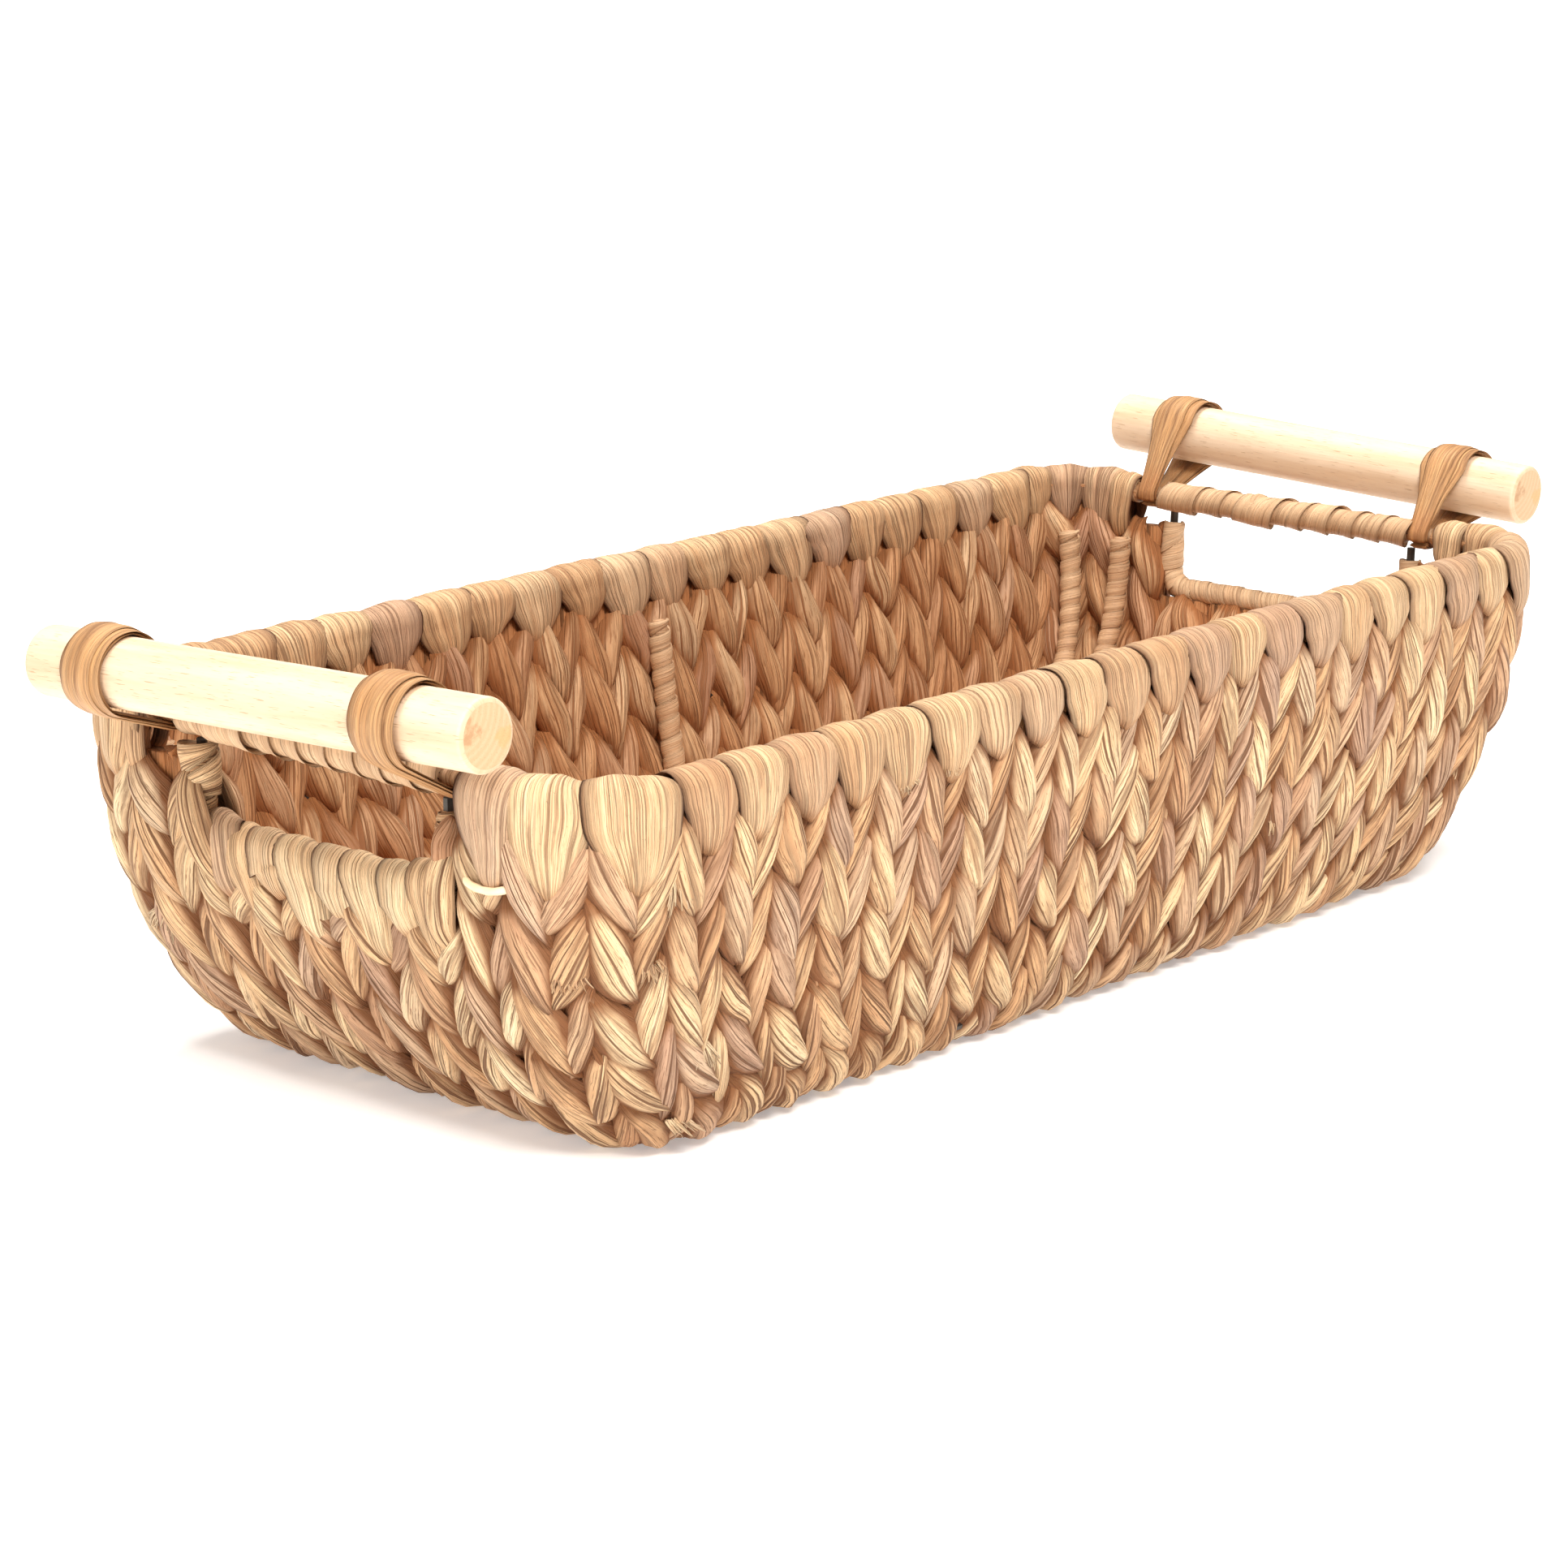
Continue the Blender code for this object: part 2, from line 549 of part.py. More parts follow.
# ---------------------------------------------------------------- a short cane tie beside the front left corner
tie = []
for i in range(8):
    f = i / 7
    tie.append(wall_point(("end", -1, -0.0555 - 0.0150 * f), 0.0812 - 0.0014 * math.sin(math.pi * f), -0.0016))
wire("cane_tie", tie, 0.0011, material("cane_tie", CANE, 0.4), resolution=2)
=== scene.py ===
import math

import bpy
import numpy as np
from mathutils import Matrix, Vector


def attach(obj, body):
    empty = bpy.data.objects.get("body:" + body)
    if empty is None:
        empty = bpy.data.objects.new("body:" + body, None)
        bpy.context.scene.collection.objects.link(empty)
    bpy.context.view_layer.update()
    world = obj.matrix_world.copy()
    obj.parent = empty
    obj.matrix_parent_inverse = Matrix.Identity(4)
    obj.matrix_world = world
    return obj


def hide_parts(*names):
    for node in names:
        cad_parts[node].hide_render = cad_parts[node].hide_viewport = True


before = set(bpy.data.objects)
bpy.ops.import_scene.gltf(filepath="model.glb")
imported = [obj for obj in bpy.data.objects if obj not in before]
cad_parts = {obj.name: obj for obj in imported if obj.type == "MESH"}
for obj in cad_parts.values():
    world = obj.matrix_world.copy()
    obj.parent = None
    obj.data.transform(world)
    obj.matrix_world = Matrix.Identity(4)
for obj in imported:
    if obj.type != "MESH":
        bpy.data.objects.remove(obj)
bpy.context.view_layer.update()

MM = 0.001

# ------------------------------------------------------------------ camera first
cam_data = bpy.data.cameras.new("camera")
cam = bpy.data.objects.new("camera", cam_data)
bpy.context.scene.collection.objects.link(cam)
bpy.context.scene.camera = cam
fwd = Vector((0.73967, 0.62473, -0.25020)).normalized()
up = Vector((0.18380, 0.17011, 0.96813))
right = fwd.cross(up).normalized()
up = right.cross(fwd).normalized()
rot = Matrix((right, up, -fwd)).transposed().to_4x4()
cam.matrix_world = Matrix.Translation((-0.94908, -0.76860, 0.36763)) @ rot
cam_data.sensor_width = 36.0
cam_data.lens = 96.41
cam_data.clip_start, cam_data.clip_end = 0.05, 60.0

# ------------------------------------------------------------------ the basket's outline (mm), as in the CAD model
RIM_TOP = 110.0


def half_length(z):
    return 184 + 44.5 * (1 - (1 - z / RIM_TOP) ** 3.2)


def half_width(z):
    return 84 + 18.3 * (1 - (1 - z / RIM_TOP) ** 1.54)


def corner_radius(z):
    return 25 + 8 * z / RIM_TOP


def plan(seg, f, z):
    """Plan point and outward normal at fraction f of a segment of the outline, anticlockwise from the front left."""
    z = np.clip(np.asarray(z, float), 0, RIM_TOP)
    a, b, r = half_length(z), half_width(z), corner_radius(z)
    f = np.asarray(f, float) + 0 * z
    o = np.zeros_like(z)
    if seg in (0, 4):
        s = 1 if seg == 0 else -1
        return np.stack([s * (2 * f - 1) * (a - r), -s * b, z], -1), np.stack([o, o - s, o], -1)
    if seg in (2, 6):
        s = 1 if seg == 2 else -1
        return np.stack([s * a, s * (2 * f - 1) * (b - r), z], -1), np.stack([o + s, o, o], -1)
    start = {1: -90, 3: 0, 5: 90, 7: 180}[seg]
    ang = np.radians(start + 90 * f)
    n = np.stack([np.cos(ang), np.sin(ang), o], -1)
    sx = 1 if seg in (1, 3) else -1
    sy = 1 if seg in (3, 5) else -1
    c = np.stack([sx * (a - r), sy * (b - r), z], -1)
    return c + r[..., None] * n, n


def unit(v):
    return v / np.maximum(np.linalg.norm(v, axis=-1, keepdims=True), 1e-12)


def wall(seg, f, z, depth, lateral=0.0):
    """Point on the wall in mm: depth inwards, square to it, and lateral to the right as seen from outside. Also its
    outward normal, its right-hand tangent."""
    z = np.asarray(z, float)
    zc = np.clip(z, 0.0, RIM_TOP)
    p, n = plan(seg, f, zc)
    hi, _ = plan(seg, f, np.minimum(zc + 0.5, RIM_TOP))
    lo, _ = plan(seg, f, np.maximum(zc - 0.5, 0))
    slope = ((hi - lo) * n).sum(-1) / (hi - lo)[..., 2]
    normal = n.copy()
    normal[..., 2] = -slope
    normal = unit(normal)
    tau = np.stack([-n[..., 1], n[..., 0], 0 * zc], -1)
    # lateral moves follow the corner's curve
    r = np.asarray(corner_radius(zc))
    lat = np.asarray(lateral, float) + 0 * zc
    if seg in (1, 3, 5, 7):
        a = lat / r
        bend = (np.cos(a) - 1) * r
        side = np.sin(a) * r
        p = p + side[..., None] * tau + bend[..., None] * n
        normal = unit(normal + np.sin(a)[..., None] * tau)
    else:
        p = p + lat[..., None] * tau
    p = p.copy()
    p[..., 2] += z - zc
    return p - np.asarray(depth, float)[..., None] * normal, normal, tau


# ------------------------------------------------------------------ mesh building
class Piece:
    """Collects swept strands and turns them into one mesh object with a fibre UV map (mm) and a Tone attribute: strand
    tone, pink tint, and painted shade in its second channel and alpha.
    """

    def __init__(self, name):
        self.name, self.v, self.f, self.uv, self.tone, self.caps, self.n = name, [], [], [], [], [], 0
        self.rests = name.startswith("weave")

    def sweep(self, rings, uv, tone, closed_path=False):
        """rings: n x m x 3 points in mm; uv: n x m x 2; tone: n x m x 4."""
        n, m, _ = rings.shape
        base = self.n
        idx = base + np.arange(n * m).reshape(n, m)
        a = idx if closed_path else idx[:-1]
        b = np.roll(idx, -1, 0) if closed_path else idx[1:]
        quads = np.stack([a, np.roll(a, -1, 1), np.roll(b, -1, 1), b], -1).reshape(-1, 4)
        self.v.append(rings.reshape(-1, 3))
        self.uv.append(uv.reshape(-1, 2))
        self.tone.append(tone.reshape(-1, 4))
        self.f.append(quads)
        if not closed_path:
            self.caps.append(idx[0][::-1])
            self.caps.append(idx[-1])
        self.n += n * m

    def build(self, mat, body, replaces=(), slot=None):
        v = np.concatenate(self.v)
        if self.rests:
            low = v[:, 2] < 2.2
            v[low, 2] = 0.15 + 2.05 * np.exp((v[low, 2] - 2.2) / 2.05)
        v = v * MM
        uv = np.concatenate(self.uv)
        tone = np.concatenate(self.tone)
        quads = np.concatenate(self.f)
        loops = np.concatenate([quads.ravel()] + [np.asarray(c) for c in self.caps])
        sizes = np.concatenate([np.full(len(quads), 4)] + [np.array([len(c)]) for c in self.caps]).astype(int)
        starts = np.concatenate([[0], np.cumsum(sizes)[:-1]])
        me = bpy.data.meshes.new(self.name)
        me.vertices.add(len(v))
        me.vertices.foreach_set("co", v.astype(np.float32).ravel())
        me.loops.add(len(loops))
        me.loops.foreach_set("vertex_index", loops.astype(np.int32))
        me.polygons.add(len(sizes))
        me.polygons.foreach_set("loop_start", starts.astype(np.int32))
        me.update(calc_edges=True)
        layer = me.uv_layers.new(name="fibre")
        layer.uv.foreach_set("vector", uv[loops].astype(np.float32).ravel())
        at = me.attributes.new("Tone", "FLOAT_COLOR", "POINT")
        at.data.foreach_set("color", tone.astype(np.float32).ravel())
        me.validate()
        me.shade_smooth()
        me.materials.append(mat)
        ob = bpy.data.objects.new(self.name, me)
        bpy.context.scene.collection.objects.link(ob)
        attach(ob, body)
        if replaces:
            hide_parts(*replaces)
        return ob


def vnoise(x, vals):
    """Smooth value noise along x with a knot at every whole number."""
    i = np.floor(x).astype(int)
    f = x - i
    f = f * f * (3 - 2 * f)
    return vals[i % len(vals)] * (1 - f) + vals[(i + 1) % len(vals)] * f


OUTER, INNER = 18, 7
_xi = np.linspace(-1, 1, OUTER)
X_OUT = 0.55 * _xi + 0.45 * np.sin(_xi * math.pi / 2)
X_IN = np.linspace(1, -1, INNER + 2)[1:-1]
X_ALL = np.concatenate([X_OUT, X_IN])
# start the loop in the middle of the inner face, so that the UV seam is hidden
ROLL = INNER // 2
X_ALL = np.roll(X_ALL, ROLL)
IS_OUT = np.roll(np.concatenate([np.ones(OUTER), np.zeros(INNER)]), ROLL)


def leaf(piece, path, normal, half_w, thick, rng, tone, arch=1.6, edge=0.45, grooves=5, groove_d=0.45, ridge=0.35,
         tucked_shade=None, pink=None, skew=0.0, crumple=0.22, share=0.75,
         edge_shade=0.35, ref=None, dark_from=4.4, dark_to=1.6, groove_shade=0.8, warp=None):
    """A flattened leaf strand swept along path (mm). normal points out of its rounded face."""
    n = len(path)
    d = np.gradient(path, axis=0)
    t = unit(d)
    b = unit(np.cross(t, normal))
    nn = unit(np.cross(b, t))
    seg = np.concatenate([[0], np.cumsum(np.linalg.norm(np.diff(path, axis=0), axis=1))])
    half_w = np.asarray(half_w, float) + 0 * seg
    thick = np.asarray(thick, float) + 0 * seg
    arch = np.asarray(arch, float) + 0 * seg
    x = X_ALL[None, :] + 0 * seg[:, None]
    v = seg[:, None] + 0 * x
    body = 1 - np.abs(x) ** 2.2
    share = (np.asarray(share, float) + 0 * seg)[:, None]
    y_out = edge + share * thick[:, None] * body
    y_in = -0.6 * edge - (1 - share) * thick[:, None] * (1 - x * x)
    # long grooves that wander a little, and broad soft ridges
    g = np.zeros_like(x)
    cavity_shade = np.zeros_like(x)
    for _ in range(grooves):
        c0 = rng.uniform(-0.85, 0.85)
        wander = vnoise(v[:, :1] / 16 + rng.uniform(0, 40), rng.uniform(-0.16, 0.16, 64))
        depth = np.clip(vnoise(v[:, :1] / 12 + rng.uniform(0, 40), rng.uniform(-0.3, 1.1, 64)), 0, 1)
        sig = rng.uniform(0.06, 0.12)
        hit = np.exp(-(((x - c0 - wander) / sig) ** 2)) * depth
        g -= groove_d * rng.uniform(0.5, 1.2) * hit
        # painted shade: the grooves are darkened in colour as well as cut in
        cavity_shade = np.maximum(cavity_shade, hit * groove_shade)
    ph = rng.uniform(0, 6.28)
    k = rng.uniform(1.2, 2.2)
    g += ridge * np.sin(k * math.pi * x + ph + vnoise(v / 14 + rng.uniform(0, 40), rng.uniform(-1.2, 1.2, 64)))
    g += crumple * vnoise(v / 5 + 3.1 * x + rng.uniform(0, 40), rng.uniform(-1, 1, 64))
    y = np.where(IS_OUT[None, :] > 0, y_out + g * (1 - x**4), y_in)
    y = y - arch[:, None] * x * x
    wob = 1 + 0.07 * vnoise(v / 9 + rng.uniform(0, 40), rng.uniform(-1, 1, 64)) * np.sign(x)
    xx = x * half_w[:, None] * wob + skew * half_w[:, None] * (1 - x * x)
    pts = path[:, None, :] + b[:, None, :] * xx[..., None] + nn[:, None, :] * y[..., None]
    if warp is not None:
        pts = warp(pts)
    across = np.linspace(0, 1, x.shape[1])[None, :] * (4 * half_w.mean())
    uv = np.stack([across + 0 * v + rng.uniform(0, 900), v + rng.uniform(0, 900)], -1)
    tn = np.zeros(x.shape + (4,))
    tn[..., 0] = np.asarray(tone)[:, None] if np.ndim(tone) else tone
    # second channel: painted shade where the leaf is tucked under its neighbours
    tn[..., 1] = 0 if tucked_shade is None else np.asarray(tucked_shade)[:, None]
    tn[..., 2] = 0 if pink is None else (np.asarray(pink)[:, None] if np.ndim(pink) else pink)
    # painted shade: the leaf is darker towards its edges, where they roll under, and on its inner face
    edge_shade_mask = np.clip(np.abs(x) ** 5 * edge_shade, 0, 1)
    if ref is not None:  # painted shade: the colour darkens where the surface lies deep between its neighbours
        h = ((pts - ref[0][:, None, :]) * ref[1][:, None, :]).sum(-1)
        deep = np.clip((dark_from - h) / (dark_from - dark_to), 0, 1)
        tn[..., 1] = np.clip(tn[..., 1] + 0.25 * deep**1.3, 0, 1)
        edge_shade_mask = np.maximum(edge_shade_mask, deep**1.5)
    tn[..., 3] = np.clip(np.maximum(cavity_shade, edge_shade_mask) * IS_OUT[None, :] + (1 - IS_OUT[None, :]) * edge_shade, 0, 1)
    piece.sweep(pts, uv, tn)


# ------------------------------------------------------------------ materials
def node(nt, kind, loc=(0, 0), **kw):
    nd = nt.nodes.new(kind)
    nd.location = loc
    for k, val in kw.items():
        setattr(nd, k, val)
    return nd


def ramp(nt, stops, fac, interp="LINEAR"):
    r = node(nt, "ShaderNodeValToRGB")
    r.color_ramp.interpolation = interp
    while len(r.color_ramp.elements) > 1:
        r.color_ramp.elements.remove(r.color_ramp.elements[-1])
    for i, (p, c) in enumerate(stops):
        e = r.color_ramp.elements[0] if i == 0 else r.color_ramp.elements.new(p)
        e.position = p
        e.color = (*c, 1) if len(c) == 3 else c
    nt.links.new(fac, r.inputs[0])
    return r.outputs[0]


def mix(nt, fac, a, b, blend="MIX"):
    m = node(nt, "ShaderNodeMix", data_type="RGBA", blend_type=blend)
    for sock, val in ((m.inputs[0], fac), (m.inputs[6], a), (m.inputs[7], b)):
        if isinstance(val, (int, float)):
            sock.default_value = val
        elif isinstance(val, tuple):
            sock.default_value = (*val, 1) if len(val) == 3 else val
        else:
            nt.links.new(val, sock)
    return m.outputs[2]


def math_node(nt, op, a, b=0.0, c=None, clamp=False):
    m = node(nt, "ShaderNodeMath", operation=op, use_clamp=clamp)
    for i, val in enumerate((a, b) if c is None else (a, b, c)):
        if isinstance(val, (int, float)):
            m.inputs[i].default_value = val
        else:
            nt.links.new(val, m.inputs[i])
    return m.outputs[0]


def stretched_noise(nt, uv, su, sv, detail=2.0, rough=0.5, offset=0.0):
    mp = node(nt, "ShaderNodeMapping")
    mp.inputs["Scale"].default_value = (su, sv, 1)
    mp.inputs["Location"].default_value = (offset, offset * 0.37, offset * 0.11)
    nt.links.new(uv, mp.inputs["Vector"])
    nz = node(nt, "ShaderNodeTexNoise", noise_dimensions="2D")
    nz.inputs["Scale"].default_value = 1.0
    nz.inputs["Detail"].default_value = detail
    nz.inputs["Roughness"].default_value = rough
    nt.links.new(mp.outputs[0], nz.inputs["Vector"])
    return nz.outputs[0]


def hyacinth(name, dark, tan, straw, pale, grey, roughness=0.62, bump=1.0, line=0.92, shade=(0.15, 0.062, 0.027)):
    m = bpy.data.materials.new(name)
    m.use_nodes = True
    nt = m.node_tree
    bsdf = nt.nodes["Principled BSDF"]
    uvn = node(nt, "ShaderNodeUVMap", uv_map="fibre")
    uv = uvn.outputs[0]
    at = node(nt, "ShaderNodeAttribute", attribute_name="Tone")
    sep = node(nt, "ShaderNodeSeparateColor")
    nt.links.new(at.outputs["Color"], sep.inputs[0])
    tone, tucked_shade, pink = sep.outputs[0], sep.outputs[1], sep.outputs[2]
    cavity_shade = at.outputs["Alpha"]
    patch = stretched_noise(nt, uv, 0.10, 0.035, 3, 0.6, 5)
    streak = stretched_noise(nt, uv, 0.85, 0.022, 3, 0.6, 11)
    fine = stretched_noise(nt, uv, 3.2, 0.05, 2, 0.6, 23)
    hair = stretched_noise(nt, uv, 1.7, 0.012, 1, 0.5, 41)
    # colour: per strand tone, broad patches and lengthwise streaks
    t1 = math_node(nt, "MULTIPLY_ADD", patch, 0.55, tone)
    t2 = math_node(nt, "MULTIPLY_ADD", streak, 0.75, t1)
    t3 = math_node(nt, "SUBTRACT", t2, 0.64, clamp=True)
    col = ramp(nt, [(0.0, dark), (0.33, tan), (0.66, straw), (1.0, pale)], t3)
    col = mix(nt, math_node(nt, "MULTIPLY", pink, math_node(nt, "ADD", patch, 0.35), clamp=True), col, grey)
    # dark hair lines between fibre bundles
    lines = ramp(nt, [(0.0, (1, 1, 1)), (0.33, (1, 1, 1)), (0.41, (0, 0, 0)), (1.0, (0, 0, 0))], hair)
    lines2 = ramp(nt, [(0.0, (1, 1, 1)), (0.34, (0.8, 0.8, 0.8)), (0.45, (0, 0, 0))], fine)
    both = math_node(nt, "MAXIMUM", lines, math_node(nt, "MULTIPLY", lines2, 0.85))
    dash = stretched_noise(nt, uv, 4.2, 0.16, 2, 0.6, 131)
    dm = ramp(nt, [(0.0, (1, 1, 1)), (0.33, (1, 1, 1)), (0.41, (0, 0, 0))], dash)
    both = math_node(nt, "MAXIMUM", both, math_node(nt, "MULTIPLY", dm, 0.8))
    both = math_node(nt, "MULTIPLY", both, line)
    # painted shade: the Tone alpha (grooves, leaf edges, crevices) pulls the colour to the same dark as the hair lines
    both = math_node(nt, "MAXIMUM", both, math_node(nt, "MULTIPLY", cavity_shade, 1.0), clamp=True)
    col = mix(nt, both, col, shade)
    # freckles
    spots = stretched_noise(nt, uv, 1.5, 0.9, 2, 0.7, 77)
    sp = ramp(nt, [(0.0, (0, 0, 0)), (0.70, (0, 0, 0)), (0.76, (1, 1, 1))], spots)
    col = mix(nt, math_node(nt, "MULTIPLY", sp, 0.45), col, (0.20, 0.10, 0.05))
    # painted shade: leaf tucked between its neighbours, or lying deep between them, is painted browner
    col = mix(nt, math_node(nt, "MULTIPLY", tucked_shade, 0.78, clamp=True), col, (0.46, 0.170, 0.052))
    nt.links.new(col, bsdf.inputs["Base Color"])
    # height: ribs, hair lines, fine fibre
    h = math_node(nt, "MULTIPLY_ADD", fine, 0.35, math_node(nt, "MULTIPLY", streak, 0.9))
    h = math_node(nt, "SUBTRACT", h, math_node(nt, "MULTIPLY", lines, 0.55))
    h = math_node(nt, "SUBTRACT", h, math_node(nt, "MULTIPLY", lines2, 0.22))
    bp = node(nt, "ShaderNodeBump")
    bp.inputs["Strength"].default_value = bump
    bp.inputs["Distance"].default_value = 0.0006
    nt.links.new(h, bp.inputs["Height"])
    nt.links.new(bp.outputs[0], bsdf.inputs["Normal"])
    rg = math_node(nt, "MULTIPLY_ADD", fine, 0.22, roughness - 0.10)
    rg = math_node(nt, "MULTIPLY_ADD", both, 0.2, rg, clamp=True)
    nt.links.new(rg, bsdf.inputs["Roughness"])
    bsdf.inputs["Specular IOR Level"].default_value = 0.32
    return m


DARK, TAN, STRAW, PALE, GREY = (0.47, 0.235, 0.110), (0.66, 0.385, 0.195), (0.82, 0.555, 0.310), (0.92, 0.71, 0.44), (0.50, 0.315, 0.225)
MAT_WALL = hyacinth("wall_leaf", DARK, TAN, STRAW, PALE, GREY)
MAT_RIM = hyacinth("border_leaf", DARK, TAN, STRAW, PALE, GREY, 0.55, 1.0, 0.62)
MAT_BASE = hyacinth("base_leaf", DARK, TAN, STRAW, PALE, GREY)
MAT_WOUND = hyacinth("wound_leaf", (0.47, 0.255, 0.135), (0.62, 0.375, 0.205), (0.74, 0.49, 0.285), (0.84, 0.61, 0.385), GREY, 0.5, 0.6, 0.40)
MAT_STRAP = hyacinth("strap_leaf_material", (0.34, 0.140, 0.050), (0.51, 0.250, 0.098), (0.62, 0.345, 0.150), (0.72, 0.45, 0.215), (0.6, 0.36, 0.2), 0.42, 0.7, 0.50)

# ------------------------------------------------------------------ columns of twined leaf
WIRE_Z = [103.5, 80.0, 59.0, 40.0, 21.0]
MID = 6.0
BASE_MID = 4.9
ROD_Y = 25.0


def local_pitch(seg, z, fw):
    """Width of one V at height z."""
    if seg in (0, 4):
        return 2 * (half_length(z) - corner_radius(z)) * fw
    if seg in (2, 6):
        return 2 * (half_width(z) - corner_radius(z)) * fw
    return math.pi / 2 * (corner_radius(z) - 1.5) * fw


def column_path(seg, f, fw, across=False):
    """Middle line of one column: down the wall, round the lower edge and in under the base, with its row coordinate."""
    z = np.linspace(103.5, 8.0, 80)
    p, _, tau = wall(seg, f, z, MID + 0 * z)
    tau = tau[0]
    pitch = local_pitch(seg, z, fw)
    tail = p[-1]
    inward = -plan(seg, f, 0.0)[1]
    steps = np.arange(4, abs(tail[1]) + 0.01, 2.0) if across else np.arange(4, 36, 2.0)
    q = tail[None, :] + inward[None, :] * steps[:, None]
    q[:, 2] = BASE_MID
    p = np.concatenate([p, q])
    last = pitch[-1]
    if across:
        pitch = np.concatenate([pitch, last + 0 * steps])
    else:
        pitch = np.concatenate([pitch, last * np.linspace(1, 0.72, len(steps))])
    for _ in range(14):
        sm = p.copy()
        sm[1:-1] = 0.25 * p[:-2] + 0.5 * p[1:-1] + 0.25 * p[2:]
        p = sm
    ell = np.concatenate([[0], np.cumsum(np.linalg.norm(np.diff(p, axis=0), axis=1))])
    anchors_l = [np.interp(-zz, -p[:80, 2], ell[:80]) for zz in WIRE_Z]
    anchors_t = [0, 1, 2, 3, 4]
    anchors_l.append(anchors_l[-1] + 21.0)
    anchors_t.append(5)
    if across:
        y_abs = np.abs(p[:, 1])
        for k, yy in ((6, 2 * ROD_Y), (7, ROD_Y), (8, 0.0)):
            j = np.argmin(np.abs(y_abs[82:] - yy)) + 82
            anchors_l.append(ell[j])
            anchors_t.append(k)
    else:
        anchors_l.append(anchors_l[-1] + 24)
        anchors_t.append(6)
    t = np.interp(ell, anchors_l, anchors_t)
    past = ell > anchors_l[-1]
    t[past] = anchors_t[-1] + (ell[past] - anchors_l[-1]) / 25.0
    for _ in range(12):
        sm = t.copy()
        sm[1:-1] = 0.25 * t[:-2] + 0.5 * t[1:-1] + 0.25 * t[2:]
        t = sm
    return p, tau, t, pitch / 19.5


def twist(piece, p, tau, tt, scale, hand, t0, t1, rng, wide=14.0, r_u=4.7, r_w=3.3, thick=3.0, stations=18, tone_bias=0.0,
          head=1.22, core=True, flat=1.0):
    """One column of twined leaf: long lobes that lap each other outside and inside, over a squeezed core.
    hand +1 leans like a backslash. Each lobe ends at a crossing, half a row below its wire."""
    d = unit(np.gradient(p, axis=0))
    nrm = unit(np.cross(d, tau[None, :]))
    col_tone = rng.uniform(-0.06, 0.06)
    take = lambda arr, t: np.stack([np.interp(t, tt, arr[:, i]) for i in range(3)], -1)
    slip = rng.uniform(-0.12, 0.12)

    def along(t):
        c, dd, nn = take(p, t), unit(take(d, t)), unit(take(nrm, t))
        tv = unit(np.cross(dd, nn))
        if (tv[0] * tau).sum() < 0:
            tv = -tv
        return c, nn, tv

    for side in (1, -1):
        for k in range(int(math.floor(t0 + 0.6)), int(math.ceil(t1 + 0.3))):
            tb = k + 0.5 + slip + rng.uniform(-0.10, 0.12)
            ta = tb - head - 0.5 + rng.uniform(-0.16, 0.16)
            ta, tb = max(ta, t0 - rng.uniform(0.0, 0.1)), min(tb, t1 + 0.2)
            if tb - ta < 0.7:
                continue
            q = np.sin(np.linspace(-1, 1, stations) * math.pi / 2 * 0.94) / math.sin(math.pi / 2 * 0.94)
            t = (ta + tb) / 2 + q * (tb - ta) / 2
            c, nn, tv = along(t)
            sc = np.interp(t, tt, scale)
            bend = vnoise((q + 1) * 1.6 + rng.uniform(0, 9), rng.uniform(-0.7, 0.7, 32))
            u = side * hand * r_u * sc * np.sin(q * 1.25) / math.sin(1.25) + rng.uniform(-0.6, 0.6) + bend
            lift = rng.uniform(-0.35, 0.45)
            rise = np.clip(1 - np.abs(q) ** 2.4, 0, 1) ** 0.7
            w = side * ((r_w + lift) * rise * flat + (1 - rise) * np.where(q > 0, 0.5, -1.3))
            path = c + tv * u[:, None] + nn * w[:, None]
            beta = 0.62 * q + rng.uniform(-0.10, 0.10)
            normal = nn * (side * np.cos(beta))[:, None] + tv * (side * hand * side * np.sin(beta))[:, None]
            plump = rng.uniform(0.86, 1.12)
            peak = rng.uniform(-0.12, 0.22)
            qq = np.where(q < peak, (q - peak) / (1 + peak), (q - peak) / (1 - peak))
            shape = np.clip(1 - np.abs(qq) ** rng.uniform(1.55, 2.1), 0, 1) ** 0.85
            half = wide / 2 * plump * sc**0.85 * (0.12 + 0.88 * shape)
            th = (thick * (0.55 + 0.45 * shape) + 0.8) * rng.uniform(0.85, 1.15) * np.clip(sc, 0.75, 1.1)
            tone = 0.50 + tone_bias + col_tone + rng.uniform(-0.30, 0.34) + 0.05 * q
            pink = np.full(stations, np.clip(rng.uniform(-0.9, 0.9), 0, 0.9))
            # painted shade: each lobe darkens at its ends and upper part, where it goes under its neighbours, and inner
            # lobes are darker all over
            tucked_shade = np.clip((np.abs(q) - 0.86) * 3.6, 0, 0.5) + np.clip(-q - 0.35, 0, 1) * 0.35 + (0.46 if side < 0 else 0.0)
            leaf(piece, path, normal, half, th, rng, tone, arch=2.7 * shape + 0.3, tucked_shade=tucked_shade, pink=pink, grooves=6,
                 skew=side * hand * rng.uniform(0.0, 0.10), share=0.72, groove_d=0.50, ridge=0.34, edge_shade=0.6,
                 ref=(c, nn * side), dark_from=(r_w + 2.4), dark_to=(r_w + 0.9))
    if core:
        t = np.linspace(t0, t1, int((t1 - t0) * 4) + 2)
        c, nn, tv = along(t)
        sc = np.interp(t, tt, scale)
        # painted shade: the core is shaded dark all over, as it is seen only in the gaps between lobes
        leaf(piece, c, nn, 5.6 * sc, 4.2 + 0 * t, rng, 0.35, arch=0.0, edge=0.6, tucked_shade=np.ones(len(t)), share=0.5, grooves=3)


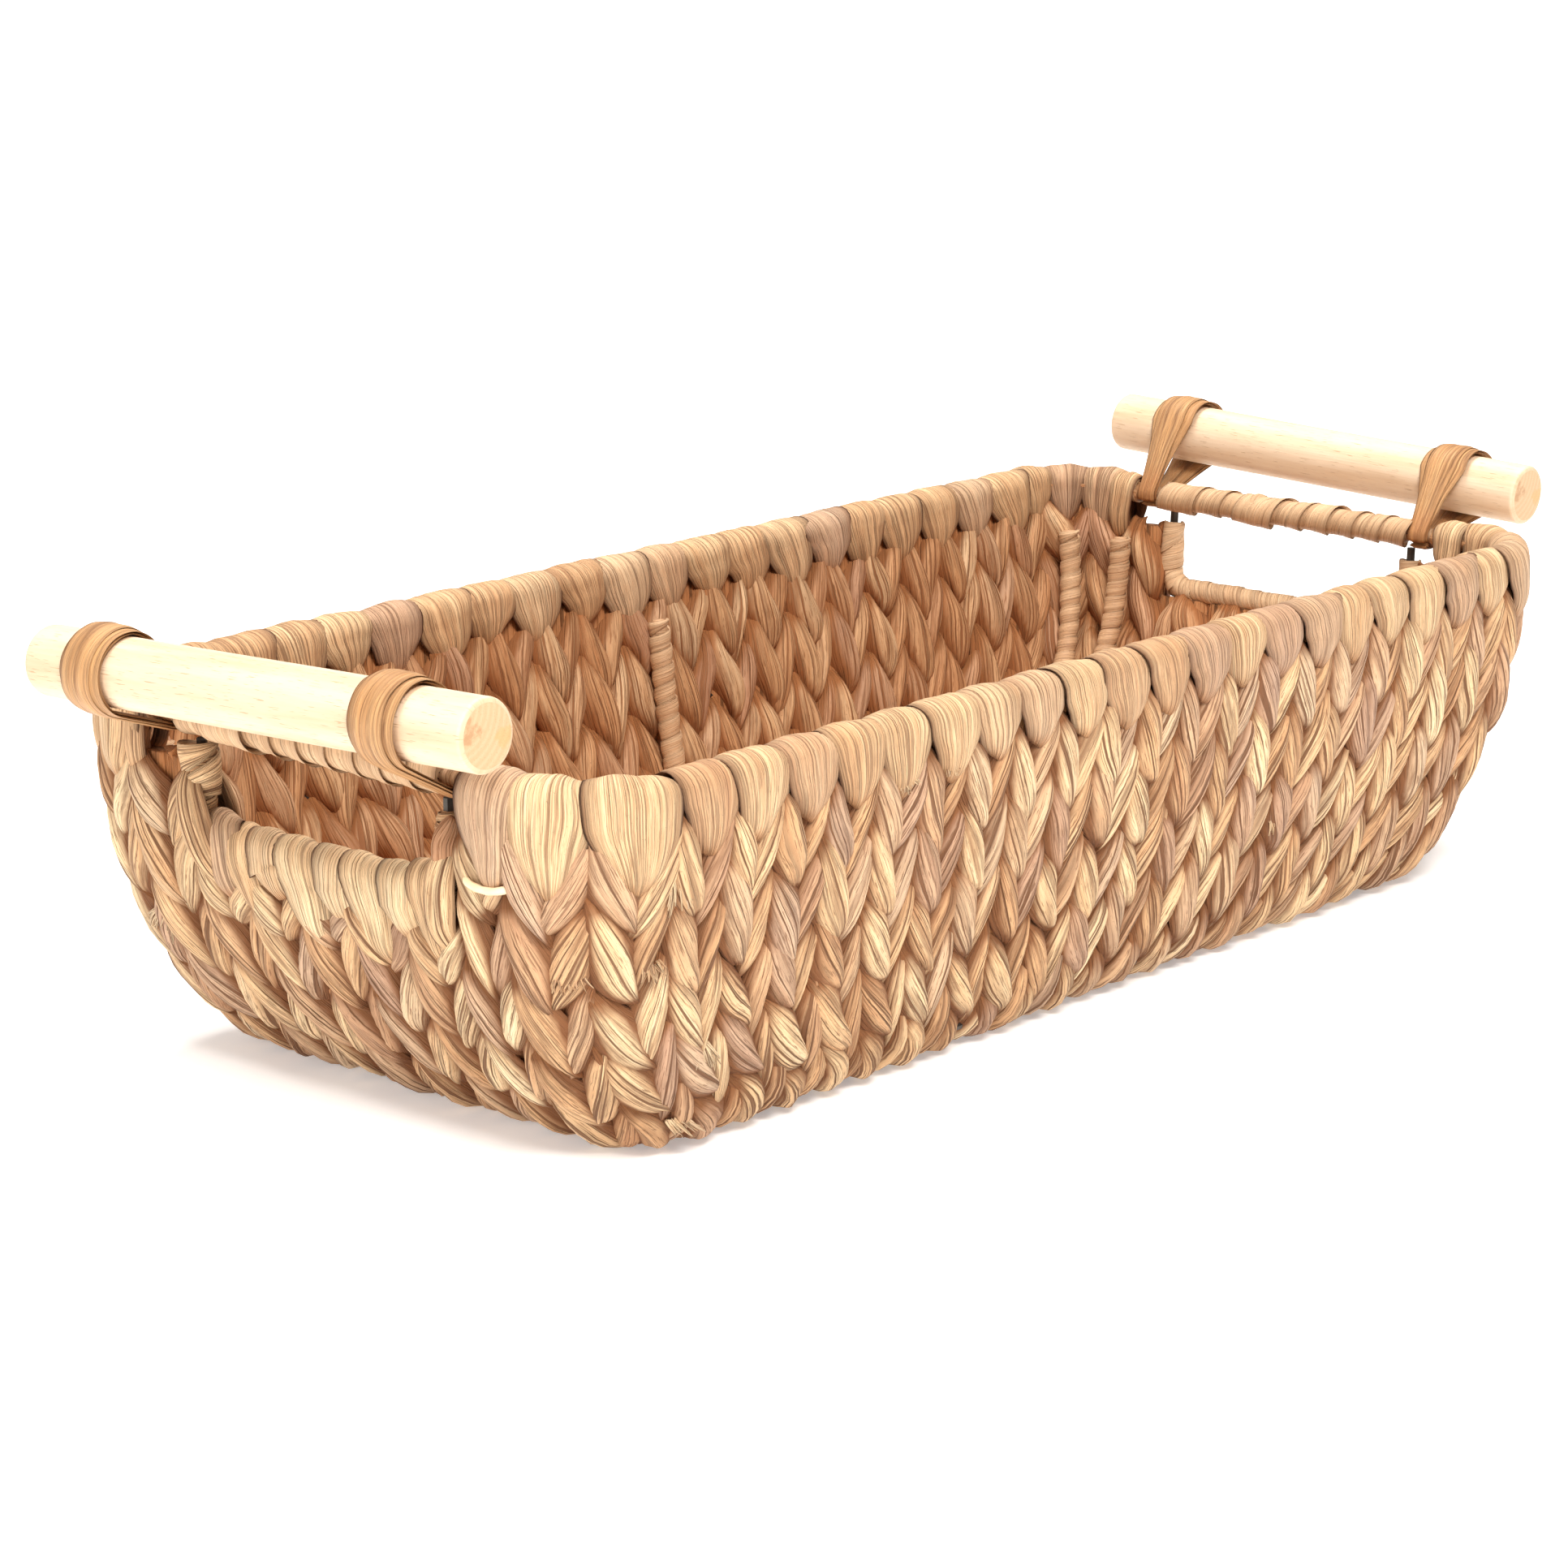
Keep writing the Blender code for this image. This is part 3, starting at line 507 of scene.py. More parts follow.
def vees():
    """Every V of two columns: (segment, centre fraction, width fraction, first row, name)."""
    out = []
    for seg, name in ((0, "front"), (4, "back")):
        for i in range(20):
            out.append((seg, (i + 0.5) / 20, 1 / 20, 0.15, f"{name}_{i + 1:02d}"))
    for seg, name in ((1, "right_front_corner"), (3, "right_back_corner"), (5, "left_back_corner"), (7, "left_front_corner")):
        for i in range(2):
            out.append((seg, (i + 0.5) / 2, 0.5, 0.15, f"{name}_{i + 1}"))
    span = 69.3
    for seg, name, lo, hi in ((2, "right_end", -52.6, 50.6), (6, "left_end", -51.6, 48.6)):
        s = 1 if seg == 2 else -1
        f = lambda y: 0.5 + s * y / (2 * span)
        f0, f1 = sorted((f(lo), f(hi)))
        out.append((seg, f0 / 2, f0, 0.45, f"{name}_a"))
        for i in range(5):
            w = (f1 - f0) / 5
            out.append((seg, f0 + (i + 0.5) * w, w, 1.50 if seg == 2 else 1.62, f"{name}_b{i + 1}"))
        out.append((seg, (f1 + 1) / 2, 1 - f1, 0.45, f"{name}_c"))
    return out


VEES = vees()


def panel_of(seg, name):
    if seg in (0, 4):
        return "front_wall_weave" if seg == 0 else "back_wall_weave"
    if seg in (1, 3, 5, 7):
        return name.rsplit("_", 1)[0] + "_weave"
    if name.endswith("_a"):  # the first V of an end, going anticlockwise
        return {2: "right_front_corner_weave", 6: "left_back_corner_weave"}[seg]
    if name.endswith("_c"):
        return {2: "right_back_corner_weave", 6: "left_front_corner_weave"}[seg]
    return {2: "right_end_weave", 6: "left_end_weave"}[seg]


for vi, (seg, fc, fw, t_first, name) in enumerate(VEES):
    rng = np.random.default_rng(1000 + vi)
    pc = Piece("weave_" + name)
    across = seg in (0, 4)
    for hand, off in ((1, -0.27), (-1, 0.24)):
        p, tau, tt, sc = column_path(seg, fc + off * fw, fw, across)
        big = hand > 0
        twist(pc, p, tau, tt, sc, hand, t_first, 5.5 if across else 6.0, rng, wide=15.6 if big else 12.6,
              r_u=4.7 if big else 4.4, r_w=4.1 if big else 3.0, thick=3.6, head=1.10)
    pc.build(MAT_WALL, "basket", [panel_of(seg, name)], "wall_hyacinth")

# ------------------------------------------------------------------ base: the long sides' columns carry on across it
for i in range(0, 20, 2):
    pc = Piece(f"weave_base_{i // 2 + 1:02d}")
    for j in (i, i + 1):
        rng = np.random.default_rng(3000 + j)
        fc = (j + 0.5) / 20
        for hand, off in ((1, -0.27), (-1, 0.24)):
            p, tau, tt, sc = column_path(0, fc + off / 20, 1 / 20, True)
            sel = tt > 4.6
            q, tq = p[sel], tt[sel]
            mirrored = q[::-1].copy()
            mirrored[:, 1] *= -1
            full = np.concatenate([q, mirrored[1:]])
            tfull = np.concatenate([tq, 16 - tq[::-1][1:]])
            order = np.argsort(tfull, kind="stable")
            full, tfull = full[order], tfull[order]
            keep = np.concatenate([[True], np.diff(tfull) > 1e-3])
            full, tfull = full[keep], tfull[keep]
            twist(pc, full, tau, tfull, np.full(len(tfull), sc[-1]), hand, 4.95, 11.05, rng, wide=14.6 if hand > 0 else 12.2,
                  r_u=4.7 if hand > 0 else 4.4, r_w=2.4, thick=2.0, stations=13)
    pc.build(MAT_BASE, "basket", ["base_weave"], "base_hyacinth")


# ------------------------------------------------------------------ rim: leaves folded over the wire
def spline(points, n):
    """Smooth curve through points (k x d), n samples evenly spaced along it."""
    pts = np.asarray(points, float)
    k = len(pts)
    ext = np.concatenate([2 * pts[:1] - pts[1:2], pts, 2 * pts[-1:] - pts[-2:-1]])
    out = []
    for i in range(k - 1):
        a0, a1, a2, a3 = ext[i:i + 4]
        t = np.linspace(0, 1, 16, endpoint=False)[:, None]
        out.append(0.5 * (2 * a1 + (a2 - a0) * t + (2 * a0 - 5 * a1 + 4 * a2 - a3) * t**2 + (3 * a1 - a0 - 3 * a2 + a3) * t**3))
    out.append(pts[-1:])
    out = np.concatenate(out)
    ell = np.concatenate([[0], np.cumsum(np.linalg.norm(np.diff(out, axis=0), axis=1))])
    q = np.linspace(0, ell[-1], n)
    return np.stack([np.interp(q, ell, out[:, i]) for i in range(out.shape[1])], -1)


def rim_curve():
    """The outline at the rim wire's height as one closed curve: distance, point, outward normal, start of each segment."""
    ps, ns, first = [], [], []
    for seg in range(8):
        first.append(sum(len(q) for q in ps))
        f = np.linspace(0, 1, 60, endpoint=False)
        p, n = plan(seg, f, 104.0 + 0 * f)
        ps.append(p[:, :2]), ns.append(n[:, :2])
    p, n = np.concatenate(ps), np.concatenate(ns)
    p, n = np.concatenate([p, p[:1]]), np.concatenate([n, n[:1]])
    ell = np.concatenate([[0], np.cumsum(np.linalg.norm(np.diff(p, axis=0), axis=1))])
    return ell, p, n, first + [len(p) - 1]


RIM_S, RIM_P, RIM_N, RIM_FIRST = rim_curve()


def rim_warp(seg, f):
    """Bends something built flat against the rim at (seg, f) so that it follows the rim round the corners."""
    i0, i1 = RIM_FIRST[seg], RIM_FIRST[seg + 1]
    s0 = RIM_S[i0] + f * (RIM_S[i1] - RIM_S[i0])
    at = lambda sv, arr: np.stack([np.interp(np.mod(sv, RIM_S[-1]), RIM_S, arr[:, i]) for i in range(2)], -1)
    p0, n0 = at(np.array(s0), RIM_P), unit(at(np.array(s0), RIM_N))
    t0 = np.array([-n0[1], n0[0]])

    def warp(pts):
        rel = pts[..., :2] - p0
        along, height = rel @ t0, rel @ n0
        n = unit(at(s0 + along, RIM_N))
        out = pts.copy()
        out[..., :2] = at(s0 + along, RIM_P) + height[..., None] * n
        return out

    return warp


def fold_over(piece, seg, f, rng, half_top, z_out, z_in, wire_z=104.0, radius=4.7, lean=0.0, tip=2.6, lift=0.0, tone=0.75,
              sag_out=0.7, n=34, shingle=0.0):
    """A leaf folded over a wire at height wire_z: its tips go down outside to z_out and inside to z_in."""
    arc = [(6 - radius * math.cos(a), wire_z + radius * math.sin(a)) for a in np.linspace(0.15, math.pi - 0.15, 7)]
    prof = [(3.4, z_out - 2.5), (1.6, z_out + 0.5), (sag_out, z_out + 5)] + [(0.95, wire_z - 3.0)] + arc
    prof += [(11.05, wire_z - 3.0), (12 - sag_out, z_in + 5), (10.4, z_in + 0.5), (8.6, z_in - 2.5)]
    prof = spline(prof, n)
    depth, z = prof[:, 0] - lift, prof[:, 1] + lift * 0.5
    g = np.linspace(-1, 1, n)
    lateral = -lean * np.sin(g * math.pi / 2) + vnoise((g + 1) * 2.2 + rng.uniform(0, 9), rng.uniform(-0.7, 0.7, 32))
    p, _, tau = wall(seg, f, z, depth, lateral)
    d = unit(np.gradient(p, axis=0))
    normal = unit(np.cross(tau, d))
    tilt = rng.uniform(0.02, 0.06) + shingle
    normal = unit(normal + tau * tilt)
    reach = np.clip(1 - np.abs(g) ** (2.0 if tip < 5 else 2.6), 0, 1)
    half = tip + (half_top - tip) * reach**0.8
    half = half * (1 + 0.05 * vnoise((g + 1) * 3 + rng.uniform(0, 9), rng.uniform(-1, 1, 32)))
    th = 1.7 + 1.3 * (1 - reach)
    # painted shade: the tips darken where they tuck under
    tucked_shade = np.clip((np.abs(g) - 0.80) * 4.0, 0, 1)
    pink = np.clip(rng.uniform(-0.9, 0.7), 0, 0.7) * np.ones(n)
    # painted shade: the part folded inside the basket is darker
    shade_in = np.where(g > 0.35, -0.10, 0.0)
    leaf(piece, p, normal, half, th, rng, tone + shade_in, arch=0.5 + 1.2 * (1 - reach), edge=0.4, grooves=4, groove_d=0.22,
         ridge=0.18, tucked_shade=tucked_shade, pink=pink, crumple=0.14, share=0.7, edge_shade=1.0, groove_shade=0.3,
         warp=rim_warp(seg, f) if wire_z > 100 else None)


rim_groups = {}
for vi, (seg, fc, fw, t_first, name) in enumerate(VEES):
    if t_first > 1 or seg in (1, 3, 5, 7):
        continue
    rng = np.random.default_rng(5000 + vi)
    row = "front_rim_border" if (seg in (0, 1, 7) or name in ("left_end_c", "right_end_a")) else "back_rim_border"
    big = 1.0
    half = local_pitch(seg, 104.0, fw) * 0.66
    drop = rng.uniform(-2.5, 2.0)
    z_out = 91.5 + drop
    f_shift = 0.0
    if name == "left_end_c":
        half, z_out, f_shift = 11.0, 81.5, 0.0274
    if name == "right_end_a":
        half, f_shift = 6.4, -0.0270
    if name == "left_end_a":
        half, f_shift = 4.6, -0.0747
    if name == "right_end_c":
        half, f_shift = 6.0, 0.0480
    pc = Piece("rim_leaf_" + name)
    fold_over(pc, seg, fc + f_shift, rng, half, z_out, 92.5 + rng.uniform(-3, 2), lean=rng.uniform(0.5, 4.0) * (1 if seg in (0, 4, 7) else 0.0),
              tone=rng.uniform(0.26, 0.68), lift=rng.uniform(-0.1, 0.45) + (0.9 if name == "left_end_c" else 0.0))
    pc.build(MAT_RIM, "basket", [row], "border_hyacinth")


CORNER_FOLDS = {7: [(0.24, 12.6, 82.0), (0.70, 14.8, 83.0)], 1: [(1 / 6, 11.4, 88.0), (0.5, 12.0, 85.5), (5 / 6, 11.4, 88.5)],
                3: [(1 / 6, 11.6, 87.5), (0.5, 11.4, 89.0), (5 / 6, 12.0, 86.0)], 5: [(1 / 6, 12.0, 86.0), (0.5, 11.4, 88.5), (5 / 6, 11.8, 86.5)]}
for seg, folds in CORNER_FOLDS.items():
    label = {7: "left_front", 1: "right_front", 3: "right_back", 5: "left_back"}[seg]
    for k, (f, half, z_out) in enumerate(folds):
        rng = np.random.default_rng(5300 + 10 * seg + k)
        pc = Piece(f"rim_leaf_{label}_corner_{k + 1}")
        fold_over(pc, seg, f, rng, half, z_out, 92.5 + rng.uniform(-3, 2), lean=rng.uniform(0.0, 2.0), tone=rng.uniform(0.28, 0.62),
                  lift=rng.uniform(0.9, 1.4))
        pc.build(MAT_RIM, "basket", ["front_rim_border" if seg in (1, 7) else "back_rim_border"], "border_hyacinth")


# leaves laid along the wire under the folds, painted darker as shade
def rim_line(parts_list):
    pts, tau_n = [], []
    for seg, f0, f1 in parts_list:
        fs = np.linspace(f0, f1, 10)
        for f in fs:
            p, _, _ = wall(seg, f, np.array([103.6]), np.array([6.0]))
            pts.append(p[0])
    return np.array(pts)


for name, parts_list in (("front", [(6, 0.877, 1.0), (7, 0.02, 1.0), (0, 0.02, 0.99), (1, 0.02, 1.0), (2, 0.01, 0.085)]),
                         ("back", [(2, 0.935, 1.0), (3, 0.02, 1.0), (4, 0.02, 0.99), (5, 0.02, 1.0), (6, 0.01, 0.035)])):
    pts = spline(rim_line(parts_list), 260)
    pc = Piece(name + "_rim_filling")
    leaf(pc, pts, np.tile([0, 0, 1.0], (len(pts), 1)), 4.3, 4.6, np.random.default_rng(77), 0.30, arch=0.0, edge=0.9, share=0.5,
         tucked_shade=np.full(len(pts), 0.55), grooves=5)
    pc.build(MAT_RIM, "basket", [name + "_rim_border"], "border_hyacinth")


# ------------------------------------------------------------------ the two ends: sill, posts, grips
def end_wall(sx, y, z, depth):
    """Point on an end wall at a fixed y."""
    z = np.asarray(z, float) + 0 * np.asarray(y, float)
    zc = np.clip(z, 0, RIM_TOP)
    slope = (half_length(np.minimum(zc + 0.5, RIM_TOP)) - half_length(np.maximum(zc - 0.5, 0))) / (
        np.minimum(zc + 0.5, RIM_TOP) - np.maximum(zc - 0.5, 0))
    n = unit(np.stack([sx + 0 * z, 0 * z, -slope], -1))
    p = np.stack([sx * half_length(zc), y + 0 * z, z], -1)
    return p - (np.asarray(depth, float) + 0 * z)[..., None] * n


def frames(p):
    t = unit(np.gradient(p, axis=0))
    e = np.cross(t[0], [0.31, 0.52, 0.80])
    e /= np.linalg.norm(e)
    out = []
    for ti in t:
        e = e - ti * (e @ ti)
        e /= np.linalg.norm(e)
        out.append(e)
    e1 = np.array(out)
    return t, e1, np.cross(t, e1)


def wind(piece, pts, radius, pitch, rng, cover=0.62, thick=0.85, tone=0.45, hand=1, bumps=(), tilt=0.16, per_turn=15, phase=0.0,
         tucked_shade=0.0):
    """A leaf wound round and round along pts; each turn laps the one before."""
    n0 = 400
    base = spline(pts, n0)
    t, e1, e2 = frames(base)
    ell = np.concatenate([[0], np.cumsum(np.linalg.norm(np.diff(base, axis=0), axis=1))])
    n = int(ell[-1] / pitch * per_turn) + 2
    sarr = np.linspace(0, ell[-1], n)
    wob = vnoise(sarr / pitch * 0.5 + rng.uniform(0, 30), rng.uniform(-1, 1, 64))
    th = hand * 2 * math.pi * (sarr / pitch) + 0.5 * wob + phase
    take = lambda arr: np.stack([np.interp(sarr, ell, arr[:, i]) for i in range(3)], -1)
    c, tt_, a1, a2 = take(base), unit(take(t)), unit(take(e1)), unit(take(e2))
    r = radius - thick + 0.16 * vnoise(sarr / pitch + rng.uniform(0, 30), rng.uniform(-1, 1, 64))
    for centre, height, width in bumps:
        r = r + height * np.exp(-(((sarr - centre) / width) ** 2))
    rad = a1 * np.cos(th)[:, None] + a2 * np.sin(th)[:, None]
    path = c + rad * r[:, None]
    normal = unit(rad + tt_ * tilt)
    half = pitch * cover * (1 + 0.10 * vnoise(sarr / pitch * 0.8 + rng.uniform(0, 30), rng.uniform(-1, 1, 64)))
    ends = np.minimum(sarr, ell[-1] - sarr)
    half = half * np.clip(0.12 + ends / 5.0, 0, 1)
    tn = tone + 0.12 * vnoise(sarr / pitch * 0.35 + rng.uniform(0, 30), rng.uniform(-1, 1, 64))
    leaf(piece, path, normal, half, thick, rng, tn, arch=0.12, edge=0.16, grooves=3, groove_d=0.10, ridge=0.07, crumple=0.05,
         share=0.7, tucked_shade=tucked_shade + 0 * sarr, groove_shade=0.25, edge_shade=0.30)
    # the turns underneath, painted darker as shade
    ang = np.linspace(0, 2 * math.pi, 20, endpoint=False)
    rc = np.interp(ell, sarr, r) - 0.12
    rc = rc * np.clip(0.75 + np.minimum(ell, ell[-1] - ell) / 6.0, 0, 1)
    e3, e4 = unit(e1), unit(e2)
    rings = base[:, None, :] + rc[:, None, None] * (e3[:, None, :] * np.cos(ang)[None, :, None] + e4[:, None, :] * np.sin(ang)[None, :, None])
    sel = slice(None, None, 3)
    uvs = np.stack([ell[:, None] + 0 * ang[None, :] + 400, rc[:, None] * ang[None, :] + 50], -1)
    tone_core = np.zeros(rings.shape[:2] + (4,))
    tone_core[..., 0] = tone - 0.15
    tone_core[..., 1] = tucked_shade
    tone_core[..., 3] = 0.15
    piece.sweep(rings[sel], uvs[sel], tone_core[sel])


def rng_of(k):
    return np.random.default_rng(9000 + k)


STRAP_Y = {"left": {"front": -48.0, "back": 60.0}, "right": {"front": -53.0, "back": 55.5}}
CLEAR = 5.5
# grips: the rim wire between the straps
for k, (end, sx) in enumerate((("left", -1), ("right", 1))):
    y = np.linspace(STRAP_Y[end]["front"] + CLEAR, STRAP_Y[end]["back"] - CLEAR, 12)
    pc = Piece(end + "_grip_winding")
    bumps = [(78, 1.0, 3.5), (20, 0.5, 5)] if end == "left" else [(33, 0.9, 3), (60, 1.6, 2.6), (92, 1.0, 4)]
    wind(pc, end_wall(sx, y, 104.0, 6.0), 4.4, 10.5, rng_of(k), cover=0.74, tone=0.55, hand=1 if sx < 0 else -1, bumps=bumps, thick=0.6, tilt=0.05,
         per_turn=20)
    pc.build(MAT_WOUND, "basket", [end + "_grip_wrap"], "wound_hyacinth")
    for row, sy in (("front", -1), ("back", 1)):  # the wire outside the straps, on under the border
        y = STRAP_Y[end][row] + sy * np.linspace(5.3, 15, 5)
        pc = Piece(f"{end}_{row}_collar_winding")
        wind(pc, end_wall(sx, y, 104.0, 6.0), 4.0, 5.5, rng_of(80 + 4 * k + (sy > 0)), cover=0.7, tone=0.4, thick=0.6, tilt=0.05)
        pc.build(MAT_WOUND, "basket", (), "wound_hyacinth")

for k, (end, sx) in enumerate((("left", -1), ("right", 1))):
    for row in ("front", "back"):
        y = STRAP_Y[end][row] + np.linspace(-7.0, 7.0, 6)
        pc = Piece(f"{end}_{row}_wire_binding")
        wind(pc, end_wall(sx, y, 104.0, 6.0), 2.3, 3.0, rng_of(120 + 2 * k + (row == "back")), cover=0.6, tone=0.3, thick=0.22, tilt=0.03)
        pc.build(MAT_WOUND, "basket", (), "wound_hyacinth")

# left slot: the wire is wound up the posts and round the lower corners, and leaves are folded over the sill
FRAME_Y = {"left": (-44.5, 47.5), "right": (-48.5, 46.5)}


def u_frame(end, sx, z_top, side=None):
    y0, y1 = FRAME_Y[end]
    r = 8.0
    prof = [(y0, z_top), (y0, 90.0), (y0, 82.0)]
    prof += [(y0 + r - r * math.cos(a), 72 + r - r * math.sin(a)) for a in np.linspace(0.15, math.pi / 2, 6)]
    right_half = [(y1 - r + r * math.cos(a), 72 + r - r * math.sin(a)) for a in np.linspace(math.pi / 2, 0.15, 6)]
    right_half += [(y1, 82.0), (y1, 90.0), (y1, z_top)]
    if side == "front":
        prof = prof + [(y0 + 14, 72.0)]
    elif side == "back":
        prof = [(y1 - 14, 72.0)] + right_half
    else:
        prof = prof + [(y, 72.0) for y in np.linspace(y0 + 16, y1 - 16, 7)] + right_half
    prof = np.array(prof)
    return end_wall(sx, prof[:, 0], prof[:, 1], 6.0)


def end_leaf(piece, sx, ctrl, half_top, rng, tone=0.5, face=1, thick=2.6, arch=2.2, n=26, pink=0.0, ends=0.25, grooves=7, tucked_shade=0.0):
    """A long leaf lying on an end wall through control points (y, z, depth)."""
    c = spline(ctrl, n)
    p = end_wall(sx, c[:, 0], c[:, 1], c[:, 2])
    q = end_wall(sx, c[:, 0], c[:, 1], c[:, 2] - 1.0)
    g = np.linspace(-1, 1, n)
    shape = np.clip(1 - np.abs(g) ** 2.2, 0, 1) ** 0.7
    # painted shade: the leaf darkens towards its ends, where they tuck under
    leaf(piece, p, unit(q - p) * face, half_top * (ends + (1 - ends) * shape), thick * (0.5 + 0.5 * shape), rng, tone,
         arch=arch * shape + 0.2, grooves=grooves, pink=np.full(n, pink), tucked_shade=np.clip((np.abs(g) - 0.85) * 4, 0, 0.6) + tucked_shade,
         groove_d=0.4, ridge=0.25, edge_shade=0.7)


for k, side in enumerate(("front", "back")):
    y = FRAME_Y["left"][k]
    out = -1 if side == "front" else 1
    pc = Piece(f"left_{side}_post_winding")
    wind(pc, u_frame("left", -1, 95.5, side), 3.5, 5.2, rng_of(10 + k), tone=0.42, cover=0.7, tilt=0.08)
    pts = end_wall(-1, y + out * np.linspace(1.6, 0.2, 6), np.linspace(97.0 if k else 93.0, 84.5, 6), 6.0)
    # painted shade: on the front post this winding is darkened as shade
    wind(pc, pts, 5.6 if k else 4.8, 7.5 if k else 6.0, rng_of(90 + k), tone=0.50 if k else 0.30, cover=0.75 if k else 0.66, thick=0.8, tilt=0.10,
         per_turn=18, tucked_shade=0.0 if k else 0.25)
    r2 = rng_of(94 + k)
    if side == "back":
        end_leaf(pc, -1, [(49.5, 91, 3.5), (48.2, 85, 0.2), (45.5, 77, -1.3), (42.0, 68, -1.0), (38.8, 60, 2.2)], 6.6, r2, 0.50)
        end_leaf(pc, -1, [(50.0, 92, 9.5), (48.0, 84, 12.2), (45.5, 75, 12.8), (41.0, 64, 10.5)], 5.6, r2, 0.36, face=-1)
    else:
        # painted shade: this first front leaf is darkened as shade
        end_leaf(pc, -1, [(-49.0, 95, 3.4), (-47.0, 90, 0.8), (-46.6, 86, 0.4), (-45.5, 80, 2.5)], 4.2, r2, 0.22, tucked_shade=0.35, pink=0.5)
        end_leaf(pc, -1, [(-48.5, 89, 3.0), (-46.5, 83, 0.2), (-44.8, 75, -1.0), (-44.5, 66, -0.6), (-46.0, 58, 2.5)], 5.4, r2, 0.55)
        end_leaf(pc, -1, [(-50.0, 92, 9.5), (-47.0, 84, 12.2), (-45.0, 75, 12.8), (-43.0, 64, 10.5)], 5.6, r2, 0.36, face=-1)
    pc.build(MAT_WALL, "basket", [f"left_{side}_post_wrap"], "wound_hyacinth")
pc = Piece("right_frame_winding")
wind(pc, u_frame("right", 1, 94.5), 3.8, 7.0, rng_of(14), tone=0.60, cover=0.74, thick=0.65, tilt=0.06, per_turn=18)
pc.build(MAT_WOUND, "basket", ["right_frame_wrap"], "wound_hyacinth")

f_end = lambda y: 0.5 - y / (2 * 69.3)
SILL = [(-38.5, 7.2, 57.5, 4.5), (-28.0, 7.6, 63.5, 3.0), (-16.5, 8.0, 53.0, 5.2), (-4.5, 7.8, 62.5, 3.4), (8.0, 8.4, 52.0, 5.5),
        (19.5, 7.6, 64.0, 3.0), (29.5, 7.4, 55.0, 4.6), (38.6, 6.8, 60.5, 3.0)]
for k, (y, half, z_out, lean) in enumerate(SILL):
    rng = rng_of(20 + k)
    pc = Piece(f"left_sill_leaf_{k + 1}")
    rise = 2.6 * max(0.0, (abs(y - 1.5) - 28) / 10)
    fold_over(pc, 6, f_end(y * 1.03), rng, half, z_out, 62.5, wire_z=71.5 + rise, radius=4.3, lean=lean, tone=rng.uniform(0.42, 0.78),
              tip=5.6 if z_out > 60 else 2.4, n=32, lift=0.5 * (k % 2) + rng.uniform(0.0, 0.3), shingle=0.10)
    pc.build(MAT_RIM, "basket", ["left_sill_border"], "border_hyacinth")

# uprights inside the walls
UPR = {"front_middle": (0, 0.5), "back_middle": (4, 0.5), "right_front_corner": (1, 0.5), "right_back_corner": (3, 0.5),
       "left_back_corner": (5, 0.5), "left_front_corner": (7, 0.5)}
for k, (label, (seg, f)) in enumerate(UPR.items()):
    z = np.linspace(88.5, 16 if seg in (0, 4) else 10, 9)
    pts, _, _ = wall(seg, f, z, 16.1 + 0 * z)
    pc = Piece(label + "_upright_winding")
    wind(pc, pts, 3.6, 5.6, rng_of(30 + k), tone=0.38)
    pc.build(MAT_WOUND, "basket", [label + "_upright_wrap"], "wound_hyacinth")
for k, (end, sx, row, sy) in enumerate((e, sx, r, sy) for e, sx in (("left", -1), ("right", 1)) for r, sy in (("front", -1), ("back", 1))):
    pts = end_wall(sx, sy * 61.5, np.linspace(88.5, 10, 9), 16.1)
    pc = Piece(f"{end}_{row}_end_upright_winding")
    wind(pc, pts, 3.6, 5.6, rng_of(40 + k), tone=0.38)
    pc.build(MAT_WOUND, "basket", [f"{end}_{row}_end_upright_wrap"], "wound_hyacinth")

# ------------------------------------------------------------------ handles
RIM_X = 222.496
DOWEL = {"left": (Vector((-242.0, 3.6, 120.8)), math.radians(-2.2)), "right": (Vector((242.0, 1.3, 120.8)), math.radians(2.0))}


